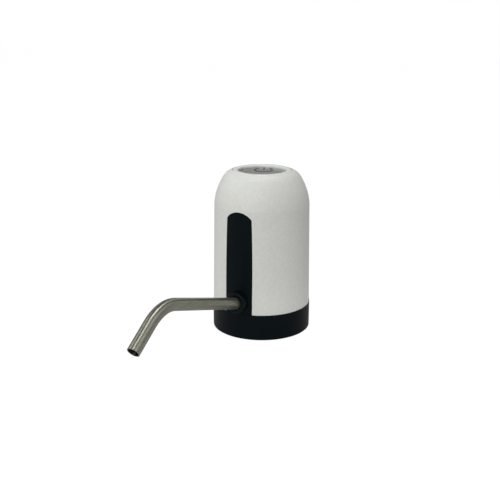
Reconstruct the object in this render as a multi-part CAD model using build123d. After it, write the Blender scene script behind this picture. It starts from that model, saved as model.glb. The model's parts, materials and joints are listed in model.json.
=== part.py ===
from build123d import *
import math
import os

# Rechargeable pump for a large water jug, in millimetres.
# +Z is up, the origin is the mouth of the neck socket, and the spout points to -Y.

# Clearances
SEAT = 0.05            # flat faces of two pieces that are fixed together
SLIP = 0.15            # a piece that drops into a pocket
RUN = 0.05             # a shaft or tube that turns in its bore, per side

# Base housing and neck socket
BASE_R = 37.85
BASE_H = 19.7
BASE_WALL = 2.2
BASE_EDGE_R = 0.3
NECK_BORE_R = 28.5
NECK_BORE_L = 6.0
SEAL_STEP = 1.5
SOCKET_ROOF = 3.9
SOCKET_WALL = 1.8
DECK_T = 2.2
RIB_COUNT = 12
RIB_T = 1.2
LIP_H = 2.8
LIP_T = 1.6
SEAL_T = 2.4
SEAL_BEAD_R = 0.8

# Outer shell
SHELL_STEP = 0.3
SHELL_WALL = 2.4
BARREL_H = 78.8
DRAFT = 1.25
SHOULDER_IN = 7.0
SHOULDER_UP = 20.1
SHOULDER_ARC_R = 45.8
CROWN_IN = 6.6
CROWN_UP = 4.6
CROWN_ARC_R = 10.4

# Front strip
STRIP_W = 22.1
STRIP_TOP_W = 20.2
STRIP_WAIST = 0.325
STRIP_HEADROOM = 0.9
ARCH_RISE = 5.0
STRIP_T = 1.3
PEG_R = 1.0
PEG_L = 3.6
PEG_INSET = 3.5
PEG_SHARES = (0.3, 0.8)

# Top bezel and button
BEZEL_RING_W = 4.3
BEZEL_SEAT_T = 4.2
BEZEL_WALL = 2.4
BEZEL_CROWN = 0.3
BEZEL_SLEEVE_L = 5.4
BUTTON_GAP = 0.2
BUTTON_SINK = 1.9
BUTTON_T = 1.6
SKIRT_L = 5.2
SKIRT_T = 2.0
PRESS_TRAVEL = 0.6
PIN_R = 2.0

# Control board
BOARD_CLEAR = 0.9
BOARD_DROP = 1.9
BOARD_T = 1.2
SWITCH_W = 6.0
SWITCH_H = 3.5
PLUNGER_R = 1.7
PLUNGER_UP = 1.2
DOME_R = 8.0
BOARD_SCREW_INSET = 4.0
CHIPS = ((-7, -9, 6, 5, 1.6), (6, -10, 5, 4, 1.4), (13, 2, 4, 6, 2.0), (-3, 11.5, 7, 4, 1.6))
CAPACITORS = ((-16, 2), (-14, -7))
CAPACITOR_R = 2.0
CAPACITOR_H = 4.2
LAMP_INSET = 5.0
SOCKET_W = 5.8
SOCKET_D = 3.6
SOCKET_H = 3.2
SOCKET_INSET = 6.5

# Chassis
FLOOR_T = 2.0
FLOOR_CLEAR = 0.8
COLUMN_INSET = 0.2
COLUMN_W = 5.0
COLUMN_T = 3.0
COLUMN_ANGLES = (-50, 50, 130, 230)
BOSS_CLEAR = 0.35
BOSS_R = 3.2
BOSS_H = 9.0
POST_H = 4.5
SHELF_T = 2.0
SHELF_CLEAR = 2.9
CLAMP_UP = 16.85
CLAMP_H = 6.0
CLAMP_T = 1.8

# Pump and motor, on one upright axis
PUMP_X = 6.5
PUMP_Y = 3.5
PUMP_R = 13.5
PUMP_CLEAR = 0.3
CUSHION_T = 1.5
HEAD_H = 11.0
VALVE_PLATE_T = 2.0
DIAPHRAGM_T = 1.4
CUP_R = 3.9
CUP_H = 4.2
CUP_PCR = 7.2
CRANK_CASE_H = 19.0
CRANK_CASE_WALL = 1.4
MOTOR_R = 12.2
MOTOR_H = 32.0
MOTOR_WALL = 1.0
SHAFT_R = 1.0
END_CAP_H = 2.8
ARMATURE_R = 8.6
MAGNET_T = 2.0
MAGNET_INSET = 6.0
MAGNET_GAP = 6.0
ECCENTRIC_R = 4.0
ECCENTRIC_H = 5.0
ECCENTRIC_LIFT = 0.5
CRANK_OFFSET = 1.6
CRANK_PIN_R = 0.75
WOBBLE_T = 2.2
WOBBLE_HUB_R = 4.2
WOBBLE_CUP_R = 2.8
WOBBLE_CUP_UP = 1.2
WOBBLE_PAD_R = 2.6
WOBBLE_ARM_W = 2.6
PUMP_SCREW_R = 1.0
PUMP_SCREW_PCR = 11.7
PUMP_SCREW_SINK = 1.2
PUMP_SCREW_GRIP = 8.0
MOTOR_SCREW_PITCH = 11.0
MOTOR_SCREW_L = 3.4

# Water way
PORT_R = 2.6
PORT_BORE_R = 1.6
PORT_L = 4.5
PORT_UP = 3.75
HOSE_WALL = 1.4
HOSE_GAP = 1.8
NIPPLE_R = 4.0
NIPPLE_L = 8.0
NIPPLE_FLANGE_R = 7.5
NIPPLE_FLANGE_T = 1.5
NIPPLE_CUP_WALL = 1.2
NUT_AF = 13.0
NUT_T = 1.9

# Spout and its collar
TUBE_R = 4.4
TUBE_WALL = 0.6
SPOUT_RISE = 17.7
SPOUT_RUN_L = 98.2
SPOUT_UP = 9.6
SPOUT_FALL = 34.4
SPOUT_TIP_L = 37.5
SPOUT_BEND_R = 32.4
SPOUT_INSERT_L = 17.0
COLLAR_RIM = 2.4
COLLAR_PROUD = 4.5
COLLAR_CLEAR = 0.5
COLLAR_MOUTH = 0.5
SPIGOT_WALL = 0.8
SPIGOT_L = 3.0
SLEEVE_GAP = 0.3
SLEEVE_END_WALL = 1.6
SLEEVE_WALL = 0.7
O_RING_SECTION_R = 0.55
O_RING_PLACES = (11.8, 14.6)

# Battery and charging board
CELL_ANGLE = 164.25
CELL_INSET = 0.6
CELL_R = 9.1
CELL_H = 65.0
CELL_LIFT = 1.6
CRADLE_T = 1.5
TAB_T = 0.3
TAB_W = 3.0
TAB_GAP = 0.3
CHARGE_BOARD_W = 17.0
CHARGE_BOARD_D = 10.0
CHARGE_BOARD_T = 1.2
CHARGE_BOARD_UP = 3.95
PORT_INSET = 1.4
PORT_OVERHANG = 3.2
PORT_W = 7.5
PORT_H = 2.7
PORT_D = 5.8
PORT_WALL = 0.35

# Fasteners
CASE_SCREW_R = 1.3
CASE_SCREW_HEAD_R = 2.4
CASE_SCREW_HEAD_T = 1.1
CASE_SCREW_L = 8.5
SMALL_SCREW_R = 0.9
SMALL_SCREW_HEAD_R = 1.8
SMALL_SCREW_HEAD_T = 1.0
SMALL_SCREW_L = 5.0
LEAD_R = 0.6
LEAD_PITCH = 2.4
TERMINAL_PITCH = 9.0
TERMINAL_H = 3.2
LEAD_HOLES_R = (7.5, 4.5, 4.0)
MOTOR_LEAD_KNEES = (0.3, 0.55)
PLUS_LEAD_KNEES = (0.27, 0.54)
MINUS_LEAD_KNEES = (0.2, 0.385)
CHARGE_LEAD_KNEES = (0.66, 0.8)

# Heights and radii that follow from the sizes above
SEAL_POCKET_R = NECK_BORE_R + SEAL_STEP
SOCKET_DEPTH = BASE_H - SOCKET_ROOF
DECK_TOP = SOCKET_DEPTH + DECK_T
SHELL_FOOT_R = BASE_R - SHELL_STEP
LIP_R = SHELL_FOOT_R - SHELL_WALL - SLIP
STRIP_H = BARREL_H - STRIP_HEADROOM
CREASE_R = SHELL_FOOT_R - DRAFT
CREASE_Z = BASE_H + BARREL_H
BROW_R = CREASE_R - SHOULDER_IN
BROW_Z = CREASE_Z + SHOULDER_UP
RIM_R = BROW_R - CROWN_IN
RIM_Z = BROW_Z + CROWN_UP
FLOOR_Z = DECK_TOP + SEAT
FLOOR_TOP = FLOOR_Z + FLOOR_T
HEAD_Z = FLOOR_TOP + CUSHION_T
VALVE_Z = HEAD_Z + HEAD_H + SEAT
DIAPHRAGM_Z = VALVE_Z + VALVE_PLATE_T + SEAT
CRANK_CASE_Z = DIAPHRAGM_Z + DIAPHRAGM_T + SEAT
MOTOR_Z = CRANK_CASE_Z + CRANK_CASE_H + SEAT
END_CAP_Z = MOTOR_Z + MOTOR_H + SEAT
CELL_Z = FLOOR_TOP + CELL_LIFT
CLAMP_Z = MOTOR_Z + CLAMP_UP
BEZEL_R = RIM_R - SLIP
BEZEL_BORE_R = BEZEL_R - BEZEL_RING_W
BUTTON_R = BEZEL_BORE_R - BUTTON_GAP
BEZEL_SEAT_Z = RIM_Z - BEZEL_SEAT_T
BEZEL_FOOT_Z = BEZEL_SEAT_Z - BEZEL_SLEEVE_L
BEZEL_TOP = RIM_Z + BEZEL_CROWN
BUTTON_TOP = BEZEL_TOP - BUTTON_SINK
BUTTON_Z = BUTTON_TOP - BUTTON_T
BOARD_TOP = BEZEL_FOOT_Z - BOARD_DROP
BOARD_Z = BOARD_TOP - BOARD_T
BOARD_R = BROW_R - SHELL_WALL - BOARD_CLEAR
BOARD_SCREW_PCR = BOARD_R - BOARD_SCREW_INSET
PLUNGER_TOP = BOARD_TOP + SWITCH_H + PLUNGER_UP
SHELF_Z = BOARD_Z - POST_H - SHELF_T
SHELF_R = CREASE_R - SHELL_WALL - SHELF_CLEAR
FLOOR_R = LIP_R - LIP_T - FLOOR_CLEAR
COLUMN_PCR = SHELF_R - COLUMN_T / 2 - COLUMN_INSET
SEAL_BEAD_IN_R = SEAL_POCKET_R - SEAT - SEAL_T - SEAL_BEAD_R
BOSS_PCR = SEAL_BEAD_IN_R - CASE_SCREW_HEAD_R - BOSS_CLEAR
CELL_PCR = FLOOR_R - CELL_INSET - CRADLE_T - SLIP - CELL_R
CELL_X = CELL_PCR * math.cos(math.radians(CELL_ANGLE))
CELL_Y = CELL_PCR * math.sin(math.radians(CELL_ANGLE))
CHARGE_BOARD_Z = FLOOR_TOP + CHARGE_BOARD_UP
CHARGE_BOARD_BACK = SHELL_FOOT_R - PORT_INSET - PORT_OVERHANG
SPOUT_FACE_Z = BASE_H + SPOUT_UP
BARB_Z = HEAD_Z + PORT_UP
COLLAR_FACE = SHELL_FOOT_R + COLLAR_PROUD
COLLAR_DEPTH = COLLAR_PROUD + SPIGOT_L
RISE = math.radians(SPOUT_RISE)
FALL = math.radians(SPOUT_FALL)
COLLAR_BORE_R = TUBE_R + COLLAR_CLEAR
SPIGOT_R = COLLAR_BORE_R + SPIGOT_WALL
COLLAR_R = SPIGOT_R + COLLAR_RIM
SLEEVE_R = TUBE_R + RUN + 2 * O_RING_SECTION_R + SLEEVE_WALL
SLEEVE_START = (COLLAR_DEPTH + SLEEVE_GAP) / math.cos(RISE) + SLEEVE_R * math.tan(RISE)


def disc(radius: float, low: float, high: float, x: float = 0, y: float = 0) -> Part:
    """An upright cylinder between two heights."""
    return Pos(x, y, (low + high) / 2) * Cylinder(radius, high - low)


def ring(outer: float, inner: float, low: float, high: float, x: float = 0, y: float = 0) -> Part:
    """An upright tube between two heights."""
    return disc(outer, low, high, x, y) - disc(inner, low - 1, high + 1, x, y)


def block(x: tuple, y: tuple, z: tuple) -> Part:
    """A box from its lowest and highest values along each axis."""
    middle = Pos((x[0] + x[1]) / 2, (y[0] + y[1]) / 2, (z[0] + z[1]) / 2)
    return middle * Box(x[1] - x[0], y[1] - y[0], z[1] - z[0])


def rod(radius: float, low: float, high: float, x: float = 0, z: float = 0) -> Part:
    """A cylinder along Y between two places."""
    return Pos(x, (low + high) / 2, z) * Rot(90, 0, 0) * Cylinder(radius, high - low)


def polar(radius: float, angle: float) -> tuple:
    """The X and Y of a place on a circle round the body's axis."""
    return radius * math.cos(math.radians(angle)), radius * math.sin(math.radians(angle))


def screw(shank: float, length: float, head: float, head_t: float) -> Part:
    """A pan-head screw that points up from the underside of its head at the origin."""
    body = disc(shank, -SEAT, length - shank) + Pos(0, 0, length - shank / 2) * Cone(
        shank, shank * 0.3, shank
    )
    cap = disc(head, -head_t, 0)
    cap = chamfer(cap.edges().group_by(Axis.Z)[0], head_t * 0.4)
    slot = Pos(0, 0, -head_t) * (
        Box(head * 1.2, head * 0.25, head_t) + Box(head * 0.25, head * 1.2, head_t)
    )
    return body + cap - slot


def along_spout(distance: float) -> Location:
    """A place on the spout's axis, its +Z pointing out of the body."""
    y = -COLLAR_FACE - distance * math.cos(RISE)
    z = SPOUT_FACE_Z + distance * math.sin(RISE)
    return Pos(0, y, z) * Rot(90 - SPOUT_RISE, 0, 0)


def spout_rod(radius: float, start: float, end: float) -> Part:
    """A cylinder on the spout's axis, measured outwards from the collar's face."""
    return along_spout((start + end) / 2) * Cylinder(radius, end - start)


def envelope(inset: float) -> Part:
    """The body of revolution inside the shell's outer skin, moved in by an inset."""
    run_out = 12
    slope = DRAFT / BARREL_H
    low = (SHELL_FOOT_R + slope * run_out, BASE_H - run_out)
    side = Line(low, (CREASE_R, CREASE_Z))
    shoulder = RadiusArc((CREASE_R, CREASE_Z), (BROW_R, BROW_Z), -SHOULDER_ARC_R)
    crown = RadiusArc((BROW_R, BROW_Z), (RIM_R, RIM_Z), -CROWN_ARC_R)
    back = Polyline((RIM_R, RIM_Z), (-run_out, RIM_Z), (-run_out, low[1]), low)
    section = make_face(side + shoulder + crown + back)
    if inset:
        section = offset(section, -inset, kind=Kind.INTERSECTION)
    keep = Pos(BASE_R, BASE_H + RIM_Z / 2) * Rectangle(2 * BASE_R, RIM_Z)
    return revolve(Plane.XZ * (section & keep), Axis.Z)


def strip_prism(grow: float) -> Part:
    """The arched outline of the front strip, run from the axis out past the shell."""
    half = STRIP_W / 2 + grow
    half_top = STRIP_TOP_W / 2 + grow
    lean = half - (half - half_top) / 4
    foot = BASE_H
    waist = BASE_H + STRIP_WAIST * STRIP_H
    shoulder = BASE_H + STRIP_H - ARCH_RISE
    middle = (waist + shoulder) / 2
    outline = ThreePointArc((-half_top, shoulder), (0, BASE_H + STRIP_H + grow), (half_top, shoulder))
    outline += ThreePointArc((half_top, shoulder), (lean, middle), (half, waist))
    outline += Polyline((half, waist), (half, foot), (-half, foot), (-half, waist))
    outline += ThreePointArc((-half, waist), (-lean, middle), (-half_top, shoulder))
    return extrude(Plane.XZ * make_face(outline), SHELL_FOOT_R + STRIP_T)


def peg_places() -> list:
    """Where the strip's pegs pass through the shell."""
    x = STRIP_W / 2 - PEG_INSET
    return [(side * x, BASE_H + share * STRIP_H) for side in (-1, 1) for share in PEG_SHARES]


def barrel_r(z: float) -> float:
    """The shell's outer radius at a height between its foot and the crease."""
    return SHELL_FOOT_R - DRAFT * (z - BASE_H) / BARREL_H


def outer_shell() -> Part:
    """Domed shell with the strip's recess, the bezel's seat and the charging window."""
    skin = envelope(0)
    shell = skin - envelope(SHELL_WALL)
    seat_in = BEZEL_BORE_R + BEZEL_WALL
    seat = ring(RIM_R + SHELL_WALL, seat_in + SLIP, BEZEL_SEAT_Z - SHELL_WALL, RIM_Z)
    shell += seat & skin
    shell -= disc(seat_in + SLIP, BEZEL_SEAT_Z - 2 * SHELL_WALL, RIM_Z + 1)
    shell -= disc(RIM_R, BEZEL_SEAT_Z, RIM_Z + 1)
    shell -= strip_prism(SLIP) - envelope(STRIP_T + SEAT)
    shell -= spout_rod(SPIGOT_R + SLIP, -SPOUT_INSERT_L, 0)
    for x, z in peg_places():
        shell -= rod(PEG_R + SLIP, -SHELL_FOOT_R - 1, 0, x, z)
    window = block(
        (-PORT_W / 2 - 0.6, PORT_W / 2 + 0.6),
        (0, SHELL_FOOT_R + 1),
        (port_z() - 0.5, port_z() + PORT_H + 0.5),
    )
    return shell - fillet(window.edges().filter_by(Axis.Y), 0.9)


def front_strip() -> Part:
    """Curved strip, flush in the shell, with the collar's hole and four pegs."""
    strip = strip_prism(0) & (envelope(0) - envelope(STRIP_T))
    strip -= spout_rod(SPIGOT_R + SLIP, -SPOUT_INSERT_L, 0)
    for x, z in peg_places():
        reach = math.sqrt(barrel_r(z) ** 2 - x**2) - STRIP_T / 2
        strip += rod(PEG_R, -reach, -reach + PEG_L, x, z)
    return strip


def base_housing() -> Part:
    """Base with its neck socket, ribbed side pocket, deck and the lip that holds the shell."""
    wall = ring(BASE_R, BASE_R - BASE_WALL, 0, BASE_H)
    wall += disc(BASE_R, 0, BASE_WALL)
    socket_r = SEAL_POCKET_R + SOCKET_WALL
    wall += disc(socket_r, 0, DECK_TOP)
    for number in range(RIB_COUNT):
        angle = 360 * (number + 0.5) / RIB_COUNT
        rib = block((socket_r - 1, BASE_R - 1), (-RIB_T / 2, RIB_T / 2), (0.5, DECK_TOP))
        wall += Rot(0, 0, angle) * rib
    wall += ring(BASE_R - 1, LIP_R - LIP_T, BASE_H - BASE_WALL, BASE_H)
    wall += ring(LIP_R, LIP_R - LIP_T, BASE_H - BASE_WALL, BASE_H + LIP_H)
    wall -= disc(NECK_BORE_R, -1, NECK_BORE_L)
    wall -= disc(SEAL_POCKET_R, NECK_BORE_L, SOCKET_DEPTH)
    wall -= disc(NIPPLE_R + NIPPLE_CUP_WALL + SEAT, SOCKET_DEPTH - 1, DECK_TOP + 1)
    for angle in COLUMN_ANGLES:
        x, y = polar(BOSS_PCR, angle)
        wall -= disc(CASE_SCREW_R + SLIP, SOCKET_DEPTH - 1, DECK_TOP + 1, x, y)
        wall -= disc(CASE_SCREW_HEAD_R + SLIP, SOCKET_DEPTH - 1, SOCKET_DEPTH + CASE_SCREW_HEAD_T, x, y)
    gap = COLLAR_R + SLIP
    wall -= block((-gap, gap), (-LIP_R - SLIP, -SEAL_POCKET_R), (BASE_H + SEAT, BASE_H + LIP_H + 1))
    outer = wall.edges().filter_by(GeomType.CIRCLE).group_by(Axis.Z)[0].sort_by(SortBy.RADIUS)[-1]
    return fillet(outer, BASE_EDGE_R)


def neck_seal() -> Part:
    """Rubber sleeve with two inner beads that grips the jug's neck."""
    outer = SEAL_POCKET_R - SEAT
    low = NECK_BORE_L + SEAT
    high = SOCKET_DEPTH - SEAT
    seal = ring(outer, outer - SEAL_T, low, high)
    for share in (0.3, 0.7):
        z = low + share * (high - low)
        seal += Pos(0, 0, z) * Torus(outer - SEAL_T, SEAL_BEAD_R)
    return seal


def top_bezel() -> Part:
    """Gloss ring with a rounded lip, seated in the shell and held by three snap lugs."""
    sleeve_r = BEZEL_BORE_R + BEZEL_WALL
    bezel = disc(BEZEL_R, BEZEL_SEAT_Z + SEAT, BEZEL_TOP) + disc(sleeve_r, BEZEL_FOOT_Z, BEZEL_TOP)
    bezel -= disc(BEZEL_BORE_R, BEZEL_FOOT_Z - 1, BEZEL_TOP + 1)
    lip = bezel.edges().filter_by(GeomType.CIRCLE).group_by(Axis.Z)[-1]
    bezel = fillet(lip, 1.1)
    under = BEZEL_SEAT_Z - SHELL_WALL - SLIP
    for angle in (30, 150, 270):
        x, y = polar(sleeve_r, angle)
        lug = disc(1.6, under - 1.8, under, x, y) & disc(sleeve_r + 0.9, 0, RIM_Z)
        bezel += lug - disc(BEZEL_BORE_R, 0, RIM_Z)
    return bezel


def power_button() -> Part:
    """Mirror-faced cap of the button, with a slightly dished top."""
    cap = disc(BUTTON_R, BUTTON_Z, BUTTON_TOP)
    cap = fillet(cap.edges().group_by(Axis.Z)[-1], 0.4)
    dish_r = 420
    return cap - Pos(0, 0, BUTTON_TOP + dish_r - 0.35) * Sphere(dish_r)


def button_carrier() -> Part:
    """Skirt under the cap, with guide ribs, snap feet and the pin that meets the switch."""
    top = BUTTON_Z - SEAT
    skirt = ring(BUTTON_R, BUTTON_R - SKIRT_T, top - SKIRT_L, top)
    skirt += disc(BUTTON_R, top - 1.2, top)
    skirt += disc(PIN_R, PLUNGER_TOP + SEAT, top)
    for angle in (0, 60, 120):
        web = block((-BUTTON_R + 1, BUTTON_R - 1), (-0.5, 0.5), (top - 2.4, top))
        skirt += Rot(0, 0, angle) * web
    for angle in (90, 210, 330):
        foot = block((-2, 2), (BUTTON_R - SKIRT_T, BUTTON_R + 0.9), (0, 0.8))
        leg = block((-2, 2), (BUTTON_R - SKIRT_T, BUTTON_R), (0, top - BEZEL_FOOT_Z + 0.9))
        skirt += Rot(0, 0, angle) * Pos(0, 0, BEZEL_FOOT_Z - 0.9) * (foot + leg)
    return skirt & disc(BEZEL_R, 0, RIM_Z)


def return_dome() -> Part:
    """Rubber dome round the switch that lifts the button again."""
    top = BUTTON_Z - SEAT - 2.4 - SEAT
    low = BOARD_TOP + SEAT
    foot = ring(DOME_R, DOME_R - 2, low, low + 0.8)
    outer = Pos(0, 0, (low + top) / 2) * Cone(DOME_R - 0.4, DOME_R - 2.6, top - low)
    inner = Pos(0, 0, (low + top) / 2) * Cone(DOME_R - 1.4, DOME_R - 3.6, top - low)
    return foot + outer - inner


def switch_body() -> Part:
    """Square body of the tact switch with its four legs and the plunger's well."""
    half = SWITCH_W / 2
    body = block((-half, half), (-half, half), (BOARD_TOP + SEAT, BOARD_TOP + SWITCH_H))
    body = chamfer(body.edges().group_by(Axis.Z)[-1], 0.3)
    for x in (-half - 0.4, half + 0.4):
        for y in (-half + 1, half - 1):
            body += block((x - 0.5, x + 0.5), (y - 0.35, y + 0.35), (BOARD_TOP + SEAT, BOARD_TOP + 0.5))
    return body - disc(PLUNGER_R + SLIP, BOARD_TOP + 0.8, BOARD_TOP + SWITCH_H + 1)


def switch_plunger() -> Part:
    """Round plunger of the tact switch."""
    return disc(PLUNGER_R, BOARD_TOP + 0.8 + PRESS_TRAVEL + SLIP, PLUNGER_TOP)


def control_board() -> Part:
    """Round board on the chassis posts, with screw holes and a notch for the leads."""
    board = disc(BOARD_R, BOARD_Z, BOARD_TOP)
    for x, y in board_screw_places():
        board -= disc(SMALL_SCREW_R + SLIP, BOARD_Z - 1, BOARD_TOP + 1, x, y)
    return board


def board_screw_places() -> list:
    """Centres of the control board's screws."""
    return [polar(BOARD_SCREW_PCR, angle) for angle in (0, 120, 240)]


def control_chips() -> list:
    """Controller, driver and capacitors on the board's underside."""
    top = BOARD_Z - SEAT
    chips = []
    for x, y, w, d, h in CHIPS:
        chips.append(block((x - w / 2, x + w / 2), (y - d / 2, y + d / 2), (top - h, top)))
    for x, y in CAPACITORS:
        can = disc(CAPACITOR_R, top - CAPACITOR_H, top, x, y)
        chips.append(fillet(can.edges().group_by(Axis.Z)[0], 0.4))
    return chips


def lead_sockets() -> list:
    """Sockets on the board's underside where the three pairs of leads plug in."""
    top = BOARD_Z - SEAT
    sockets = []
    for x, y in lead_places():
        wide = (x - SOCKET_W / 2, x + SOCKET_W / 2)
        deep = (y - SOCKET_D / 2, y + SOCKET_D / 2)
        box = block(wide, deep, (top - SOCKET_H, top))
        for side in (-1, 1):
            box -= disc(LEAD_R + SLIP, top - SOCKET_H - 1, top - 1, x + side * LEAD_PITCH / 2, y)
        sockets.append(box)
    return sockets


def lead_places() -> list:
    """Centres of the lead sockets: motor, battery and charging board."""
    return [(PUMP_X, PUMP_Y + 1), (-8, 4), (0, BOARD_R - SOCKET_INSET)]


def lamp_leds() -> list:
    """Four lamps on the board, under the button's milky carrier."""
    lamps = []
    for angle in (45, 135, 225, 315):
        x, y = polar(BEZEL_BORE_R - LAMP_INSET, angle)
        lamp = block((x - 0.8, x + 0.8), (y - 0.8, y + 0.8), (BOARD_TOP + SEAT, BOARD_TOP + 0.9))
        lamps.append(lamp)
    return lamps


def board_screws() -> list:
    """Three screws that hold the board on the chassis posts."""
    fixing = screw(SMALL_SCREW_R, SMALL_SCREW_L, SMALL_SCREW_HEAD_R, SMALL_SCREW_HEAD_T)
    turned = Rot(180, 0, 0) * fixing
    return [Pos(x, y, BOARD_TOP + SEAT) * turned for x, y in board_screw_places()]


def cradle() -> Part:
    """Wall round the outer side of the battery."""
    outer = CELL_R + SLIP + CRADLE_T
    wall = ring(outer, CELL_R + SLIP, FLOOR_TOP - 0.5, SHELF_Z + 0.5, CELL_X, CELL_Y)
    open_side = block((CELL_X, 0), (-BASE_R, BASE_R), (FLOOR_TOP - 1, SHELF_Z + 1))
    rear = block((-BASE_R, 0), (CELL_Y + 6, BASE_R), (FLOOR_TOP - 1, SHELF_Z + 1))
    return wall - open_side - rear


def chassis() -> Part:
    """Inner frame: floor, columns, battery cradle, motor clamp, shelf and posts."""
    frame = disc(FLOOR_R, FLOOR_Z, FLOOR_TOP)
    frame += disc(SHELF_R, SHELF_Z, SHELF_Z + SHELF_T)
    for angle in COLUMN_ANGLES:
        column = block(
            (COLUMN_PCR - COLUMN_T / 2, COLUMN_PCR + COLUMN_T / 2),
            (-COLUMN_W / 2, COLUMN_W / 2),
            (FLOOR_Z + 0.5, SHELF_Z + 0.5),
        )
        x, y = polar(BOSS_PCR, angle)
        frame += Rot(0, 0, angle) * column
        frame += disc(BOSS_R, FLOOR_TOP - 0.5, FLOOR_TOP + BOSS_H, x, y)
        web = block((BOSS_PCR, COLUMN_PCR), (-0.8, 0.8), (FLOOR_TOP - 0.5, FLOOR_TOP + BOSS_H))
        frame += Rot(0, 0, angle) * web
    frame += cradle()
    frame += motor_clamp()
    for x, y in board_screw_places():
        frame += disc(SMALL_SCREW_R + 1.6, SHELF_Z + 0.5, BOARD_Z - SEAT, x, y)
    return frame - chassis_holes()


def motor_clamp() -> Part:
    """Ring round the motor, tied to the cradle and to the two columns beside it."""
    bore = MOTOR_R + SLIP
    clamp = disc(bore + CLAMP_T, CLAMP_Z, CLAMP_Z + CLAMP_H, PUMP_X, PUMP_Y)
    for angle in COLUMN_ANGLES[:2]:
        x, y = polar(COLUMN_PCR, angle)
        length = math.hypot(x - PUMP_X, y - PUMP_Y)
        heading = math.degrees(math.atan2(y - PUMP_Y, x - PUMP_X))
        tie = block((0, length), (-1, 1), (CLAMP_Z, CLAMP_Z + CLAMP_H))
        clamp += Pos(PUMP_X, PUMP_Y, 0) * Rot(0, 0, heading) * tie
    reach = block((CELL_X, PUMP_X), (CELL_Y - CELL_R - 2, CELL_Y - CELL_R), (CLAMP_Z, CLAMP_Z + CLAMP_H))
    clamp += reach - disc(CELL_R + SLIP, 0, SHELF_Z, CELL_X, CELL_Y)
    tab_x = CELL_X + CELL_R + TAB_GAP
    tab_y = TAB_W / 2 + SLIP
    tab_room = block((tab_x - SLIP, tab_x + TAB_T + SLIP), (CELL_Y - tab_y, CELL_Y + tab_y), (0, SHELF_Z))
    return clamp - tab_room - disc(bore, CLAMP_Z - 1, CLAMP_Z + CLAMP_H + 1, PUMP_X, PUMP_Y)


def chassis_holes() -> Part:
    """Every hole and notch in the chassis."""
    holes = disc(NUT_AF / 2 * 1.16 + 0.6, FLOOR_Z - 1, FLOOR_TOP + 1)
    half = SLEEVE_R + 1.5
    holes += block((-half, half), (-BASE_R, sleeve_y() + SLEEVE_R), (FLOOR_Z - 1, FLOOR_TOP + 1))
    holes += disc(PUMP_R + PUMP_CLEAR, FLOOR_TOP, MOTOR_Z, PUMP_X, PUMP_Y)
    for (x, y), radius in zip(lead_places(), LEAD_HOLES_R):
        holes += disc(radius, SHELF_Z - 1, SHELF_Z + SHELF_T + 1, x, y)
    for angle in COLUMN_ANGLES:
        x, y = polar(BOSS_PCR, angle)
        holes += disc(CASE_SCREW_R + SEAT, FLOOR_Z - 1, FLOOR_TOP + BOSS_H - 1, x, y)
    for x, y in board_screw_places():
        holes += disc(SMALL_SCREW_R + SEAT, SHELF_Z + SHELF_T, BOARD_Z + 1, x, y)
    return holes


def case_screws() -> list:
    """Four screws up through the deck into the chassis bosses."""
    fixing = screw(CASE_SCREW_R, CASE_SCREW_L, CASE_SCREW_HEAD_R, CASE_SCREW_HEAD_T - SEAT)
    seat = SOCKET_DEPTH + CASE_SCREW_HEAD_T - SEAT
    return [Pos(*polar(BOSS_PCR, angle), seat) * fixing for angle in COLUMN_ANGLES]


def pump_screw_places() -> list:
    """Centres of the long screws round the pump."""
    places = [polar(PUMP_SCREW_PCR, angle) for angle in (30, 150, 270)]
    return [(PUMP_X + x, PUMP_Y + y) for x, y in places]


def cup_places() -> list:
    """Centres of the diaphragm's three cups."""
    places = [polar(CUP_PCR, angle) for angle in (90, 210, 330)]
    return [(PUMP_X + x, PUMP_Y + y) for x, y in places]


def pump_cushion() -> Part:
    """Rubber ring that keeps the pump's hum out of the chassis."""
    pad = ring(PUMP_R, PUMP_R - 3.5, FLOOR_TOP, HEAD_Z, PUMP_X, PUMP_Y)
    return pad - disc(NUT_AF / 2 * 1.16 + 0.6, FLOOR_TOP - 1, HEAD_Z + 1)


def pump_head() -> Part:
    """Head with the inlet spigot below and the outlet port towards the spout."""
    head = disc(PUMP_R, HEAD_Z, HEAD_Z + HEAD_H, PUMP_X, PUMP_Y)
    head = chamfer(head.edges().group_by(Axis.Z)[0], 0.8)
    head += disc(PORT_R + 0.2, SOCKET_DEPTH + 0.7, HEAD_Z + 1)
    head += rod(PORT_R, outlet_end(), PUMP_Y, 0, BARB_Z)
    head -= disc(PORT_BORE_R, SOCKET_DEPTH, HEAD_Z + HEAD_H - 2)
    head -= rod(PORT_BORE_R, outlet_end() - 1, -4, 0, BARB_Z)
    for x, y in pump_screw_places():
        head -= disc(PUMP_SCREW_R + SLIP, HEAD_Z - 1, HEAD_Z + HEAD_H + 1, x, y)
        head -= disc(2 * PUMP_SCREW_R + SLIP, HEAD_Z - 1, HEAD_Z + PUMP_SCREW_SINK, x, y)
    return head


def outlet_end() -> float:
    """The Y of the pump's outlet port."""
    return PUMP_Y - PUMP_R - PORT_L


def valve_plate() -> Part:
    """Plate with three inlet flaps' holes, a centre outlet and the screws' holes."""
    top = VALVE_Z + VALVE_PLATE_T
    plate = disc(PUMP_R, VALVE_Z, top, PUMP_X, PUMP_Y)
    plate -= disc(1.2, VALVE_Z - 1, top + 1, PUMP_X, PUMP_Y)
    for x, y in cup_places():
        for turn in (0, 120, 240):
            dx, dy = polar(2.0, turn)
            plate -= disc(0.6, VALVE_Z - 1, top + 1, x + dx, y + dy)
    for x, y in pump_screw_places():
        plate -= disc(PUMP_SCREW_R + SLIP, VALVE_Z - 1, top + 1, x, y)
    return plate


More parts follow.
